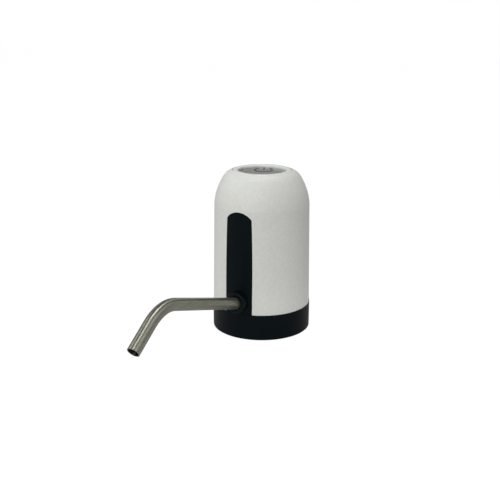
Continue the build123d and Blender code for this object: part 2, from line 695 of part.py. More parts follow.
def diaphragm() -> Part:
    """Rubber sheet with three cups that hang into the crank case."""
    top = DIAPHRAGM_Z + DIAPHRAGM_T
    sheet = disc(PUMP_R, DIAPHRAGM_Z, top, PUMP_X, PUMP_Y)
    for x, y in pump_screw_places():
        sheet -= disc(PUMP_SCREW_R + SLIP, DIAPHRAGM_Z - 1, top + 1, x, y)
    for x, y in cup_places():
        cup = disc(CUP_R, DIAPHRAGM_Z, top + CUP_H, x, y)
        cup = fillet(cup.edges().group_by(Axis.Z)[-1], 0.8)
        sheet += cup - disc(CUP_R - 1, DIAPHRAGM_Z - 1, top + CUP_H - 1.2, x, y)
        sheet -= disc(CUP_R - 1, DIAPHRAGM_Z - 1, top + CUP_H - 1.2, x, y)
    return sheet


def crank_case() -> Part:
    """Cup-shaped housing between the diaphragm and the motor."""
    top = CRANK_CASE_Z + CRANK_CASE_H
    case = disc(PUMP_R, CRANK_CASE_Z, top, PUMP_X, PUMP_Y)
    hollow = disc(PUMP_R - CRANK_CASE_WALL, CRANK_CASE_Z - 1, top - 2, PUMP_X, PUMP_Y)
    for x, y in pump_screw_places():
        hollow -= disc(PUMP_SCREW_R + 1.4, CRANK_CASE_Z - 1, top, x, y)
    case -= hollow
    case -= disc(SHAFT_R + 2, CRANK_CASE_Z, top + 1, PUMP_X, PUMP_Y)
    for x, y in pump_screw_places():
        case -= disc(PUMP_SCREW_R + SEAT, CRANK_CASE_Z - 1, CRANK_CASE_Z + PUMP_SCREW_GRIP + 1, x, y)
    for x, y in motor_screw_places():
        case -= disc(SMALL_SCREW_R + SLIP, top - 3, top + 1, x, y)
    return case


def motor_screw_places() -> list:
    """Centres of the two screws that hold the motor's face."""
    return [(PUMP_X + side * MOTOR_SCREW_PITCH / 2, PUMP_Y) for side in (-1, 1)]


def motor_screws() -> list:
    """Two short screws from the crank case into the motor's face."""
    fixing = screw(SMALL_SCREW_R, MOTOR_SCREW_L, SMALL_SCREW_HEAD_R, SMALL_SCREW_HEAD_T)
    under = CRANK_CASE_Z + CRANK_CASE_H - 2 - SEAT
    return [Pos(x, y, under) * fixing for x, y in motor_screw_places()]


def pump_screws() -> list:
    """Three long screws that clamp head, valve plate and diaphragm to the crank case."""
    under = HEAD_Z + PUMP_SCREW_SINK
    length = CRANK_CASE_Z + PUMP_SCREW_GRIP - under
    fixing = screw(PUMP_SCREW_R, length, 2 * PUMP_SCREW_R, PUMP_SCREW_SINK - 2 * SEAT)
    return [Pos(x, y, under - SEAT) * fixing for x, y in pump_screw_places()]


def wobble_z() -> float:
    """The height of the wobble plate, on top of the cups."""
    return DIAPHRAGM_Z + DIAPHRAGM_T + CUP_H + SEAT


def wobble_plate() -> Part:
    """Three arms that work the cups, with an open cup for the crank pin."""
    low = wobble_z()
    plate = disc(WOBBLE_HUB_R, low, low + WOBBLE_T + WOBBLE_CUP_UP, PUMP_X, PUMP_Y)
    half = WOBBLE_ARM_W / 2
    for x, y in cup_places():
        plate += disc(WOBBLE_PAD_R, low, low + WOBBLE_T, x, y)
        heading = math.degrees(math.atan2(y - PUMP_Y, x - PUMP_X))
        arm = block((0, CUP_PCR), (-half, half), (low, low + WOBBLE_T))
        plate += Pos(PUMP_X, PUMP_Y, 0) * Rot(0, 0, heading) * arm
    return plate - disc(WOBBLE_CUP_R, low + 0.8, low + WOBBLE_T + 3, PUMP_X, PUMP_Y)


def eccentric_z() -> float:
    """The underside of the eccentric."""
    return wobble_z() + WOBBLE_T + WOBBLE_CUP_UP + ECCENTRIC_LIFT


def eccentric() -> Part:
    """Hub pressed on the motor's shaft, lightened on the side away from the pin."""
    low = eccentric_z()
    hub = disc(ECCENTRIC_R, low, low + ECCENTRIC_H, PUMP_X, PUMP_Y)
    hub = chamfer(hub.edges().group_by(Axis.Z)[-1], 0.5)
    hub -= disc(SHAFT_R, low + 1, low + ECCENTRIC_H + 1, PUMP_X, PUMP_Y)
    hub -= disc(CRANK_PIN_R, low - 1, low + 0.9, PUMP_X + CRANK_OFFSET, PUMP_Y)
    flat = block((PUMP_X - 6, PUMP_X - 2.6), (PUMP_Y - 6, PUMP_Y + 6), (low - 1, low + 2.4))
    return hub - flat


def crank_pin() -> Part:
    """Steel pin in the eccentric that stirs the wobble plate."""
    low = wobble_z() + 0.8 + 0.4
    return disc(CRANK_PIN_R, low, eccentric_z() + 0.9, PUMP_X + CRANK_OFFSET, PUMP_Y)


def motor_can() -> Part:
    """Drawn steel can of the motor, open at its top, with the front bearing's boss."""
    can = disc(MOTOR_R, MOTOR_Z, MOTOR_Z + MOTOR_H, PUMP_X, PUMP_Y)
    can = fillet(can.edges().group_by(Axis.Z)[0], 1.2)
    can -= disc(MOTOR_R - MOTOR_WALL, MOTOR_Z + 2.4, MOTOR_Z + MOTOR_H + 1, PUMP_X, PUMP_Y)
    can += disc(3.2, MOTOR_Z + 2, MOTOR_Z + 5, PUMP_X, PUMP_Y)
    can -= disc(SHAFT_R + RUN, MOTOR_Z - 1, MOTOR_Z + 6, PUMP_X, PUMP_Y)
    for x, y in motor_screw_places():
        can -= disc(SMALL_SCREW_R + SEAT, MOTOR_Z - 1, MOTOR_Z + 3, x, y)
    return can


def motor_magnets() -> list:
    """Two curved magnets in the can."""
    outer = MOTOR_R - MOTOR_WALL - SEAT
    low = MOTOR_Z + MAGNET_INSET
    shell = ring(outer, outer - MAGNET_T, low, low + MOTOR_H - 2 * MAGNET_INSET, PUMP_X, PUMP_Y)
    wide = (PUMP_X - MAGNET_GAP / 2, PUMP_X + MAGNET_GAP / 2)
    gap = block(wide, (PUMP_Y - MOTOR_R, PUMP_Y + MOTOR_R), (low - 1, low + MOTOR_H))
    return (shell - gap).solids()


def armature() -> Part:
    """Three-pole armature with its commutator, on the shaft."""
    low = MOTOR_Z + 7
    high = MOTOR_Z + MOTOR_H - 7
    core = disc(3.0, low, high, PUMP_X, PUMP_Y)
    rim = ring(ARMATURE_R, ARMATURE_R - 1.8, low, high, PUMP_X, PUMP_Y)
    for angle in (90, 210, 330):
        pole = Rot(0, 0, angle) * block((0, ARMATURE_R - 1), (-1.6, 1.6), (low, high))
        slot = Rot(0, 0, angle + 60) * block((ARMATURE_R - 3, ARMATURE_R + 1), (-1, 1), (low - 1, high + 1))
        core += Pos(PUMP_X, PUMP_Y, 0) * pole
        rim -= Pos(PUMP_X, PUMP_Y, 0) * slot
    core += rim
    core += disc(2.4, high - 0.5, high + 4, PUMP_X, PUMP_Y)
    return core - disc(SHAFT_R, low - 1, high + 6, PUMP_X, PUMP_Y)


def motor_shaft() -> Part:
    """Shaft from the eccentric up through the armature to the rear bearing."""
    low = eccentric_z() + 1
    return disc(SHAFT_R, low, END_CAP_Z + END_CAP_H - 1, PUMP_X, PUMP_Y)


def motor_end_cap() -> Part:
    """Moulded end cap with the rear bearing and two terminals."""
    cap = disc(MOTOR_R - 0.4, END_CAP_Z, END_CAP_Z + END_CAP_H, PUMP_X, PUMP_Y)
    cap = chamfer(cap.edges().group_by(Axis.Z)[-1], 0.6)
    cap -= disc(SHAFT_R + RUN, END_CAP_Z - 1, END_CAP_Z + END_CAP_H - 0.8, PUMP_X, PUMP_Y)
    for side in (-1, 1):
        x = PUMP_X + side * TERMINAL_PITCH / 2
        cap += block((x - 0.25, x + 0.25), (PUMP_Y - 1.2, PUMP_Y + 1.2), (END_CAP_Z + 1, terminal_top()))
    return cap


def terminal_top() -> float:
    """The top of the motor's terminals."""
    return END_CAP_Z + END_CAP_H + TERMINAL_H


def hose_nipple() -> Part:
    """Nipple under the deck for the suction hose, with a cup for the pump's spigot."""
    cup_r = NIPPLE_R + NIPPLE_CUP_WALL
    flange_z = SOCKET_DEPTH - NIPPLE_FLANGE_T - SEAT
    tip = flange_z - NIPPLE_L
    nipple = disc(NIPPLE_FLANGE_R, flange_z, flange_z + NIPPLE_FLANGE_T)
    nipple += disc(cup_r, flange_z, DECK_TOP + NUT_T - 0.3)
    stem = disc(NIPPLE_R, tip, flange_z + 0.5)
    nipple += chamfer(stem.edges().group_by(Axis.Z)[0], 0.6)
    nipple -= disc(PORT_BORE_R + 0.8, tip - 1, SOCKET_DEPTH)
    return nipple - disc(NIPPLE_R - SEAT, SOCKET_DEPTH - 0.4, FLOOR_TOP + 2)


def nipple_nut() -> Part:
    """Hexagon nut that clamps the nipple to the deck."""
    nut = extrude(RegularPolygon(NUT_AF / 2, 6, major_radius=False), NUT_T)
    return Pos(0, 0, DECK_TOP + SEAT) * (nut - disc(NIPPLE_R + NIPPLE_CUP_WALL + SEAT, -1, NUT_T + 1))


def inlet_seal() -> Part:
    """Rubber sleeve between the nipple's cup and the pump's inlet spigot."""
    outer = NIPPLE_R - 2 * SEAT
    return ring(outer, PORT_R + 0.2 + SEAT, SOCKET_DEPTH + 0.2, DECK_TOP + NUT_T - 0.5)


def sleeve_y() -> float:
    """The Y of the closed end of the spout's socket."""
    return -COLLAR_FACE + (SPOUT_INSERT_L + 0.5 + SLEEVE_END_WALL) * math.cos(RISE)


def spout_socket() -> Part:
    """Inclined socket behind the collar, with O-ring grooves and a barb for the hose."""
    end = -SPOUT_INSERT_L - 0.5
    body = spout_rod(SLEEVE_R, end - SLEEVE_END_WALL, -SLEEVE_START)
    barb_end = outlet_end() - HOSE_GAP
    body += rod(PORT_R, sleeve_y() - 4, barb_end, 0, BARB_Z)
    body += rod(PORT_R + 0.8, sleeve_y() - 4, sleeve_y() + 0.8, 0, BARB_Z)
    body -= spout_rod(TUBE_R + RUN, end, 0)
    for place in O_RING_PLACES:
        half = O_RING_SECTION_R + SEAT
        body -= spout_rod(TUBE_R + RUN + 2 * O_RING_SECTION_R, -place - half, -place + half)
    body -= rod(PORT_BORE_R, sleeve_y() - 4, barb_end + 1, 0, BARB_Z)
    under = DECK_TOP + 2 * SEAT
    return body - block((-BASE_R, BASE_R), (-BASE_R, 0), (0, under))


def o_rings() -> list:
    """Two O-rings round the spout's plugged end."""
    radius = TUBE_R + RUN + O_RING_SECTION_R
    return [along_spout(-place) * Torus(radius, O_RING_SECTION_R - 0.02) for place in O_RING_PLACES]


def spout_collar() -> Part:
    """Round collar, proud of the strip, with an inclined spigot through strip and shell."""
    head = rod(COLLAR_R, -COLLAR_FACE, -SHELL_FOOT_R + 6, 0, SPOUT_FACE_Z)
    head = fillet(head.edges().group_by(Axis.Y)[0], 0.9)
    head -= envelope(-SEAT / 2)
    collar = head + spout_rod(SPIGOT_R, -COLLAR_DEPTH / math.cos(RISE), -COLLAR_PROUD / 2)
    collar -= spout_rod(COLLAR_BORE_R, -SPOUT_INSERT_L, COLLAR_R)
    mouth = collar.edges().group_by(Axis.Y)[0].sort_by(SortBy.LENGTH)[0]
    return chamfer(mouth, COLLAR_MOUTH)


def spout_path() -> Wire:
    """Centre line of the spout: plugged end, straight run, bend and tip."""
    start = along_spout(-SPOUT_INSERT_L).position
    knee = along_spout(SPOUT_RUN_L).position
    tip = knee - Vector(0, math.cos(FALL), math.sin(FALL)) * SPOUT_TIP_L
    return FilletPolyline(start, knee, tip, radius=SPOUT_BEND_R)


def spout_tube() -> Part:
    """Thin-walled steel tube, bent once."""
    path = spout_path()
    section = Plane(path @ 0, z_dir=path % 0) * (Circle(TUBE_R) - Circle(TUBE_R - TUBE_WALL))
    return sweep(section, path)


def outlet_hose() -> Part:
    """Short silicone hose from the pump's outlet to the spout's socket."""
    start = sleeve_y() + SLEEVE_R * math.sin(RISE) + 0.3
    end = PUMP_Y - PUMP_R - 0.6
    return rod(PORT_R + SEAT + HOSE_WALL, start, end, 0, BARB_Z) - rod(
        PORT_R + SEAT, start - 1, end + 1, 0, BARB_Z
    )


def battery_cell() -> Part:
    """Upright lithium cell with its raised top contact."""
    cell = disc(CELL_R, CELL_Z, CELL_Z + CELL_H - 1, CELL_X, CELL_Y)
    cell = fillet(cell.edges().group_by(Axis.Z)[-1], 0.8)
    return cell + disc(3, CELL_Z + CELL_H - 1.5, CELL_Z + CELL_H, CELL_X, CELL_Y)


def battery_tabs() -> list:
    """Nickel strips at the cell's two ends; the lower one runs up beside the cell."""
    x = CELL_X + CELL_R + TAB_GAP
    top = CELL_Z + CELL_H + SEAT
    low = CELL_Z - SEAT
    plus_wide = (CELL_X - TAB_W, CELL_X + CELL_R / 2)
    plus_deep = (CELL_Y + 0.5, CELL_Y + 0.5 + TAB_W)
    minus_deep = (CELL_Y - TAB_W / 2, CELL_Y + TAB_W / 2)
    plus = block(plus_wide, plus_deep, (top, top + TAB_T))
    minus = block((CELL_X - TAB_W, x + TAB_T), minus_deep, (low - TAB_T, low))
    minus += block((x, x + TAB_T), minus_deep, (low - TAB_T, top + 1))
    return [plus, minus]


def battery_pads() -> list:
    """Foam discs under and over the battery."""
    under = disc(CELL_R - 0.5, FLOOR_TOP + SEAT, CELL_Z - 2 * SEAT - TAB_T, CELL_X, CELL_Y)
    top = CELL_Z + CELL_H + TAB_T + 2 * SEAT
    over = disc(5, top, SHELF_Z - SEAT, CELL_X - 3.5, CELL_Y)
    return [under, over]


def port_z() -> float:
    """The underside of the charging socket."""
    return CHARGE_BOARD_Z + CHARGE_BOARD_T + SEAT


def port_mouth() -> float:
    """The Y of the charging socket's mouth, just inside the shell's outer face."""
    return SHELL_FOOT_R - PORT_INSET


def charge_board() -> Part:
    """Small board on the chassis floor that carries the charging socket."""
    half = CHARGE_BOARD_W / 2
    deep = (CHARGE_BOARD_BACK - CHARGE_BOARD_D, CHARGE_BOARD_BACK)
    board = block((-half, half), deep, (CHARGE_BOARD_Z, CHARGE_BOARD_Z + CHARGE_BOARD_T))
    return fillet(board.edges().filter_by(Axis.Z), 0.8)


def charge_board_posts() -> list:
    """Rests on the floor under the charging board."""
    half = CHARGE_BOARD_W / 2 - 1.5
    rows = (CHARGE_BOARD_BACK - 2.5, CHARGE_BOARD_BACK - CHARGE_BOARD_D + 2.5)
    return [
        disc(1.4, FLOOR_TOP - 0.5, CHARGE_BOARD_Z - SEAT, side * half, y)
        for side in (-1, 1)
        for y in rows
    ]


def charge_port() -> Part:
    """Sheet-metal charging socket with its tongue."""
    mouth = port_mouth()
    z = port_z()
    shell = block((-PORT_W / 2, PORT_W / 2), (mouth - PORT_D, mouth), (z, z + PORT_H))
    shell = chamfer(shell.edges().filter_by(Axis.Y).group_by(Axis.Z)[0], 0.9)
    inner = block(
        (-PORT_W / 2 + PORT_WALL, PORT_W / 2 - PORT_WALL),
        (mouth - PORT_D + 0.8, mouth + 1),
        (z + PORT_WALL, z + PORT_H - PORT_WALL),
    )
    inner = chamfer(inner.edges().filter_by(Axis.Y).group_by(Axis.Z)[0], 0.7)
    tongue = block((-1.9, 1.9), (mouth - PORT_D, mouth - 0.8), (z + 1.25, z + 1.75))
    return shell - inner + tongue


def lead(start: tuple, end: tuple, knees: tuple, radius: float) -> Part:
    """One insulated lead that rises, leans across between its knees and rises again."""
    rise = end[2] - start[2]
    low, high = (start[2] + share * rise for share in knees)
    path = FilletPolyline(start, (start[0], start[1], low), (end[0], end[1], high), end, radius=radius)
    return sweep(Plane(path @ 0, z_dir=path % 0) * Circle(LEAD_R), path)


def lead_top() -> float:
    """Where a lead ends inside its socket."""
    return BOARD_Z - SEAT - 1.2


def motor_leads() -> list:
    """Two leads from the motor's terminals to the control board."""
    x, y = lead_places()[0]
    leads = []
    for side in (-1, 1):
        start = (PUMP_X + side * TERMINAL_PITCH / 2, PUMP_Y, terminal_top() + SEAT)
        end = (x + side * LEAD_PITCH / 2, y, lead_top())
        leads.append(lead(start, end, MOTOR_LEAD_KNEES, 2.0))
    return leads


def battery_leads() -> list:
    """Two leads from the cell's tabs to the control board."""
    x, y = lead_places()[1]
    top = CELL_Z + CELL_H + SEAT
    plus_start = (CELL_X + 4, CELL_Y + 2, top + TAB_T + SEAT)
    plus_end = (x - LEAD_PITCH / 2, y, lead_top())
    minus_start = (CELL_X + CELL_R + TAB_GAP + TAB_T / 2, CELL_Y, top + 1 + SEAT)
    minus_end = (x + LEAD_PITCH / 2, y, lead_top())
    plus = lead(plus_start, plus_end, PLUS_LEAD_KNEES, 2.0)
    return [plus, lead(minus_start, minus_end, MINUS_LEAD_KNEES, 1.4)]


def charge_leads() -> list:
    """Two leads from the charging board straight up to the control board."""
    x, y = lead_places()[2]
    low = CHARGE_BOARD_Z + CHARGE_BOARD_T + SEAT
    board_y = CHARGE_BOARD_BACK - CHARGE_BOARD_D + 1.5
    leads = []
    for side in (-1, 1):
        start = (x + side * LEAD_PITCH / 2, board_y, low)
        end = (x + side * LEAD_PITCH / 2, y, lead_top())
        leads.append(lead(start, end, CHARGE_LEAD_KNEES, 8.0))
    return leads


def whole_chassis() -> Part:
    """Chassis with the charging board's rests."""
    frame = chassis()
    for post in charge_board_posts():
        frame += post
    return frame


NODES = {
    "outer_shell": outer_shell,
    "front_strip": front_strip,
    "base_housing": base_housing,
    "neck_seal": neck_seal,
    "top_bezel": top_bezel,
    "power_button": power_button,
    "button_carrier": button_carrier,
    "return_dome": return_dome,
    "switch_body": switch_body,
    "switch_plunger": switch_plunger,
    "control_board": control_board,
    "control_chips": control_chips,
    "lead_sockets": lead_sockets,
    "lamp_leds": lamp_leds,
    "board_screws": board_screws,
    "chassis": whole_chassis,
    "case_screws": case_screws,
    "pump_cushion": pump_cushion,
    "pump_head": pump_head,
    "valve_plate": valve_plate,
    "diaphragm": diaphragm,
    "crank_case": crank_case,
    "motor_screws": motor_screws,
    "pump_screws": pump_screws,
    "wobble_plate": wobble_plate,
    "eccentric": eccentric,
    "crank_pin": crank_pin,
    "motor_can": motor_can,
    "motor_magnets": motor_magnets,
    "armature": armature,
    "motor_shaft": motor_shaft,
    "motor_end_cap": motor_end_cap,
    "hose_nipple": hose_nipple,
    "nipple_nut": nipple_nut,
    "inlet_seal": inlet_seal,
    "spout_socket": spout_socket,
    "o_rings": o_rings,
    "spout_collar": spout_collar,
    "spout_tube": spout_tube,
    "outlet_hose": outlet_hose,
    "battery_cell": battery_cell,
    "battery_tabs": battery_tabs,
    "battery_pads": battery_pads,
    "charge_board": charge_board,
    "charge_port": charge_port,
    "motor_leads": motor_leads,
    "battery_leads": battery_leads,
    "charge_leads": charge_leads,
}

os.makedirs("parts", exist_ok=True)
for node, make in NODES.items():
    made = make()
    pieces = list(made) if isinstance(made, (list, tuple, ShapeList)) else made.solids()
    solids = [solid for piece in pieces for solid in piece.solids()]
    export_step(Compound(children=solids) if len(solids) > 1 else solids[0], f"parts/{node}.step")
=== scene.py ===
"""Rechargeable water jug pump: finishes, fine pieces, studio and camera round its construction."""

import json
import logging
import math
from collections.abc import Callable
from dataclasses import dataclass
from enum import Enum

import bpy
from mathutils import Euler, Matrix, Vector

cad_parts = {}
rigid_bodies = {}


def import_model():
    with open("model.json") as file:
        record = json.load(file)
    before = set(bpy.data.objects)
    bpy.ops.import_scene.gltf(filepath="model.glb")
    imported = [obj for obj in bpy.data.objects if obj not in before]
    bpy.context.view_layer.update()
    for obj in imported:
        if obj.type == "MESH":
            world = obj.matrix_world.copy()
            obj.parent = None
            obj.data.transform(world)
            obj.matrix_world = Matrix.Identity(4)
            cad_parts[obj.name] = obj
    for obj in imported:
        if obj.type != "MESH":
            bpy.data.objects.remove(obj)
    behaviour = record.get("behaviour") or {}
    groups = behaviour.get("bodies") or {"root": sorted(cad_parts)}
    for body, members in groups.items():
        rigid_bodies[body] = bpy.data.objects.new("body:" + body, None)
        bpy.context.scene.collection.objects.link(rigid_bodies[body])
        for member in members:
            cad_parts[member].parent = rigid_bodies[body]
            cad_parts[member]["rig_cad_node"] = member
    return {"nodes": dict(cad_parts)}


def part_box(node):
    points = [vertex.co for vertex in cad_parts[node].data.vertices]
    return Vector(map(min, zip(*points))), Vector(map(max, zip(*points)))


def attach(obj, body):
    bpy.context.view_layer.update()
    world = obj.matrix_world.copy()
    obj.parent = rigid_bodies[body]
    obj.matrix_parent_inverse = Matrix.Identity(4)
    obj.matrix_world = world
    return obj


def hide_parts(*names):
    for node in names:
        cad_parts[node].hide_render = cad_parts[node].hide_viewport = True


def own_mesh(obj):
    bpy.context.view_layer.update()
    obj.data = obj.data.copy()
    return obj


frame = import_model()

LOG = logging.getLogger("jug_pump")
MM = 0.001
SMOOTH_ANGLE = math.radians(35)
MERGE_REACH = 1e-7
ROUND_POINTS = 64

Triple = tuple[float, float, float]
Colour = Triple
Material = bpy.types.Material
Node = bpy.types.Node
Piece = bpy.types.Object
Socket = bpy.types.NodeSocket
Tree = bpy.types.NodeTree
Feed = Socket | float | tuple[float, ...]

WHITE: Colour = (1.0, 1.0, 1.0)


class Body(Enum):
    """The bodies that new pieces ride on."""

    HOUSING = "housing"
    BUTTON = "button"
    ROTOR = "rotor"


class Kind(Enum):
    """The kinds of socket that a shader group has."""

    VECTOR = "NodeSocketVector"
    VALUE = "NodeSocketFloat"
    COLOUR = "NodeSocketColor"


class Blend(Enum):
    """What a mix node mixes."""

    VALUES = "FLOAT"
    COLOURS = "RGBA"


class Element(Enum):
    """What edit mode selects."""

    FACE = "FACE"
    POINT = "VERT"


# ---- Shader nodes


def feed(tree: Tree, source: Feed, target: Socket) -> None:
    """Links a socket to an input, or sets the input to a plain value.

    Args:
        tree: The node tree.
        source: The socket or the value.
        target: The input.
    """
    if isinstance(source, Socket):
        tree.links.new(source, target)
    else:
        target.default_value = source


def add_node(tree: Tree, kind: str, settings: dict[str, object] | None = None, **inputs: Feed) -> Node:
    """Adds a shader node to a tree.

    Args:
        tree: The node tree.
        kind: The node's type, without the ShaderNode at its front.
        settings: The node's own settings.
        inputs: What feeds each input, with underscores for spaces.

    Returns:
        The new node.
    """
    node = tree.nodes.new(f"ShaderNode{kind}")
    for name, setting in (settings or {}).items():
        setattr(node, name, setting)
    for name, source in inputs.items():
        feed(tree, source, node.inputs[name.replace("_", " ")])
    return node


def combined(tree: Tree, kind: str, operation: str, first: Feed, second: Feed) -> Socket:
    """Combines two values or two vectors.

    Args:
        tree: The node tree.
        kind: "Math" or "VectorMath".
        operation: The node's operation.
        first: What feeds the first input.
        second: What feeds the second input.

    Returns:
        The output that the operation fills.
    """
    node = add_node(tree, kind, {"operation": operation})
    feed(tree, first, node.inputs[0])
    feed(tree, second, node.inputs[1])
    return next(output for output in node.outputs if output.enabled)


def product(tree: Tree, first: Feed, second: Feed) -> Socket:
    """Returns the product of two values."""
    return combined(tree, "Math", "MULTIPLY", first, second)


def total(tree: Tree, first: Feed, second: Feed) -> Socket:
    """Returns the sum of two values."""
    return combined(tree, "Math", "ADD", first, second)


def graded(
    tree: Tree, value: Socket, low: float, high: float, at_low: float = 0.0, at_high: float = 1.0
) -> Socket:
    """Grades one range of a value into another, and holds it past both ends.

    Args:
        tree: The node tree.
        value: The value.
        low: The start of its range.
        high: The end of its range.
        at_low: The result at the start.
        at_high: The result at the end.

    Returns:
        The graded value.
    """
    node = add_node(
        tree, "MapRange", None, Value=value, From_Min=low, From_Max=high, To_Min=at_low, To_Max=at_high
    )
    return node.outputs["Result"]


def blended(tree: Tree, blend: Blend, share: Socket, first: Feed, second: Feed) -> Socket:
    """Mixes two values or colours.

    Args:
        tree: The node tree.
        blend: What is mixed.
        share: The share of the second one.
        first: What shows where the share is 0.
        second: What shows where the share is 1.

    Returns:
        The mixture.
    """
    node = add_node(tree, "Mix", {"data_type": blend.value}, Factor=share, A=first, B=second)
    return node.outputs["Result"]


def noise(tree: Tree, place: Socket, scale: Feed, detail: float, roughness: float) -> Socket:
    """Adds a noise pattern.

    Args:
        tree: The node tree.
        place: The coordinates that the pattern lies on.
        scale: Its scale in repeats a metre.
        detail: How many finer layers it has.
        roughness: How strong the finer layers are.

    Returns:
        The pattern's value.
    """
    node = add_node(tree, "TexNoise", None, Vector=place, Scale=scale, Detail=detail, Roughness=roughness)
    return node.outputs["Fac"]


def shaded(colour: Colour, share: float) -> tuple[float, float, float, float]:
    """A colour multiplied by a share, with full alpha."""
    return (colour[0] * share, colour[1] * share, colour[2] * share, 1.0)


# ---- Shader groups

# Detail and roughness of each group's noise.
GRAIN_NOISE = (4.0, 0.55)
DRIFT_NOISE = (3.0, 0.6)
PATCH_NOISE = (4.0, 0.6)
PATCH_SCALE = 90.0

# Agreement of the rounded normal with the face's own, from a plain face to a full edge.
EDGE_NONE = 0.995
EDGE_FULL = 0.80
EDGE_SAMPLES = 4


def open_group(
    name: str, inputs: dict[str, Feed], output: str, kind: Kind
) -> tuple[Tree, dict[str, Socket], Socket]:
    """Starts a shader group that takes coordinates and further values, and puts out one.

    Args:
        name: The group's name.
        inputs: The default of each further input, a number or a colour.
        output: The output's name.
        kind: The output's kind.

    Returns:
        The new group, its inputs by name and its output, as sockets inside it.
    """
    group = bpy.data.node_groups.new(name, "ShaderNodeTree")
    group.interface.new_socket(name="Vector", in_out="INPUT", socket_type=Kind.VECTOR.value)
    for label, value in inputs.items():
        given_kind = Kind.VALUE if isinstance(value, float) else Kind.COLOUR
        socket = group.interface.new_socket(name=label, in_out="INPUT", socket_type=given_kind.value)
        socket.default_value = value
    group.interface.new_socket(name=output, in_out="OUTPUT", socket_type=kind.value)
    given = group.nodes.new("NodeGroupInput").outputs
    return group, dict(given.items()), group.nodes.new("NodeGroupOutput").inputs[output]


def grain_group() -> Tree:
    """Builds fine moulded grain.

    Returns:
        A group that puts out a bumped normal.
    """
    values = {"Scale": 2500.0, "Strength": 0.1, "Depth": 0.02 * MM}
    group, given, normal = open_group("moulded_grain", values, "Normal", Kind.VECTOR)
    fine = noise(group, given["Vector"], given["Scale"], *GRAIN_NOISE)
    bump = add_node(group, "Bump", None, Height=fine, Strength=given["Strength"], Distance=given["Depth"])
    feed(group, bump.outputs["Normal"], normal)
    return group


def drift_group() -> Tree:
    """Builds a slow change of tone over a surface, as handling and moulding leave it.

    Returns:
        A group that puts out a colour.
    """
    values = {"Color": shaded(WHITE, 0.8), "Shade": shaded(WHITE, 0.7), "Scale": 30.0, "Amount": 0.2}
    group, given, colour = open_group("tone_drift", values, "Color", Kind.COLOUR)
    slow = noise(group, given["Vector"], given["Scale"], *DRIFT_NOISE)
    share = product(group, slow, given["Amount"])
    feed(group, blended(group, Blend.COLOURS, share, given["Color"], given["Shade"]), colour)
    return group


def polish_group() -> Tree:
    """Builds a roughness that falls where an edge is rubbed and wanders slightly elsewhere.

    Returns:
        A group that puts out a roughness.
    """
    values = {"Roughness": 0.4, "Wander": 0.05, "Rub": 0.1, "Radius": 0.5 * MM}
    group, given, roughness = open_group("rubbed_edges", values, "Roughness", Kind.VALUE)
    rounded = add_node(group, "Bevel", {"samples": EDGE_SAMPLES}, Radius=given["Radius"])
    face = add_node(group, "NewGeometry")
    agreement = combined(
        group, "VectorMath", "DOT_PRODUCT", rounded.outputs["Normal"], face.outputs["Normal"]
    )
    edge = graded(group, agreement, EDGE_NONE, EDGE_FULL)
    patch = noise(group, given["Vector"], PATCH_SCALE, *PATCH_NOISE)
    base = total(group, given["Roughness"], product(group, patch, given["Wander"]))
    rub = product(group, edge, given["Rub"])
    feed(group, combined(group, "Math", "SUBTRACT", base, rub), roughness)
    return group


GRAIN = grain_group()
DRIFT = drift_group()
POLISH = polish_group()


@dataclass
class Recipe:
    """A material under construction: its shader and its object coordinates."""

    material: Material
    shader: Node
    place: Socket

    @classmethod
    def begin(cls, name: str) -> "Recipe":
        """Starts a material.

        Args:
            name: The material's name.

        Returns:
            A recipe with a plain Principled shader and object coordinates.
        """
        material = bpy.data.materials.new(name)
        material.use_nodes = True
        shader = material.node_tree.nodes["Principled BSDF"]
        coords = add_node(material.node_tree, "TexCoord")
        return cls(material, shader, coords.outputs["Object"])

    @property
    def tree(self) -> Tree:
        """The material's node tree."""
        return self.material.node_tree

    def set(self, **inputs: Feed) -> None:
        """Feeds the shader's own inputs, with underscores for spaces."""
        for name, source in inputs.items():
            feed(self.tree, source, self.shader.inputs[name.replace("_", " ")])

    def group(self, group: Tree, **inputs: Feed) -> Socket:
        """Places a shader group on the object coordinates and returns its output."""
        node = add_node(self.tree, "Group", {"node_tree": group}, Vector=self.place, **inputs)
        return node.outputs[0]

    def lines(self, scale: Triple, detail: float, roughness: float) -> Socket:
        """Adds a noise pattern that is drawn out into lines.

        Args:
            scale: The pattern's scale along each axis, in repeats a metre.
            detail: How many finer layers it has.
            roughness: How strong the finer layers are.

        Returns:
            The pattern's value.
        """
        stretched = add_node(self.tree, "Mapping", None, Vector=self.place, Scale=scale)
        return noise(self.tree, stretched.outputs["Vector"], 1.0, detail, roughness)

    def ramp(self, value: Socket, stops: tuple[tuple[float, Colour], tuple[float, Colour]]) -> Socket:
        """Turns a value into a colour.

        Args:
            value: The value.
            stops: The two values between which the colour changes, each with its colour.

        Returns:
            The colour.
        """
        node = add_node(self.tree, "ValToRGB", None, Fac=value)
        for element, (position, colour) in zip(node.color_ramp.elements, stops):
            element.position = position
            element.color = (*colour, 1.0)
        return node.outputs["Color"]


# ---- Finishes


@dataclass(frozen=True)
class Finish:
    """What every finish has: a name, a main colour and a roughness."""

    name: str
    colour: Colour
    roughness: float


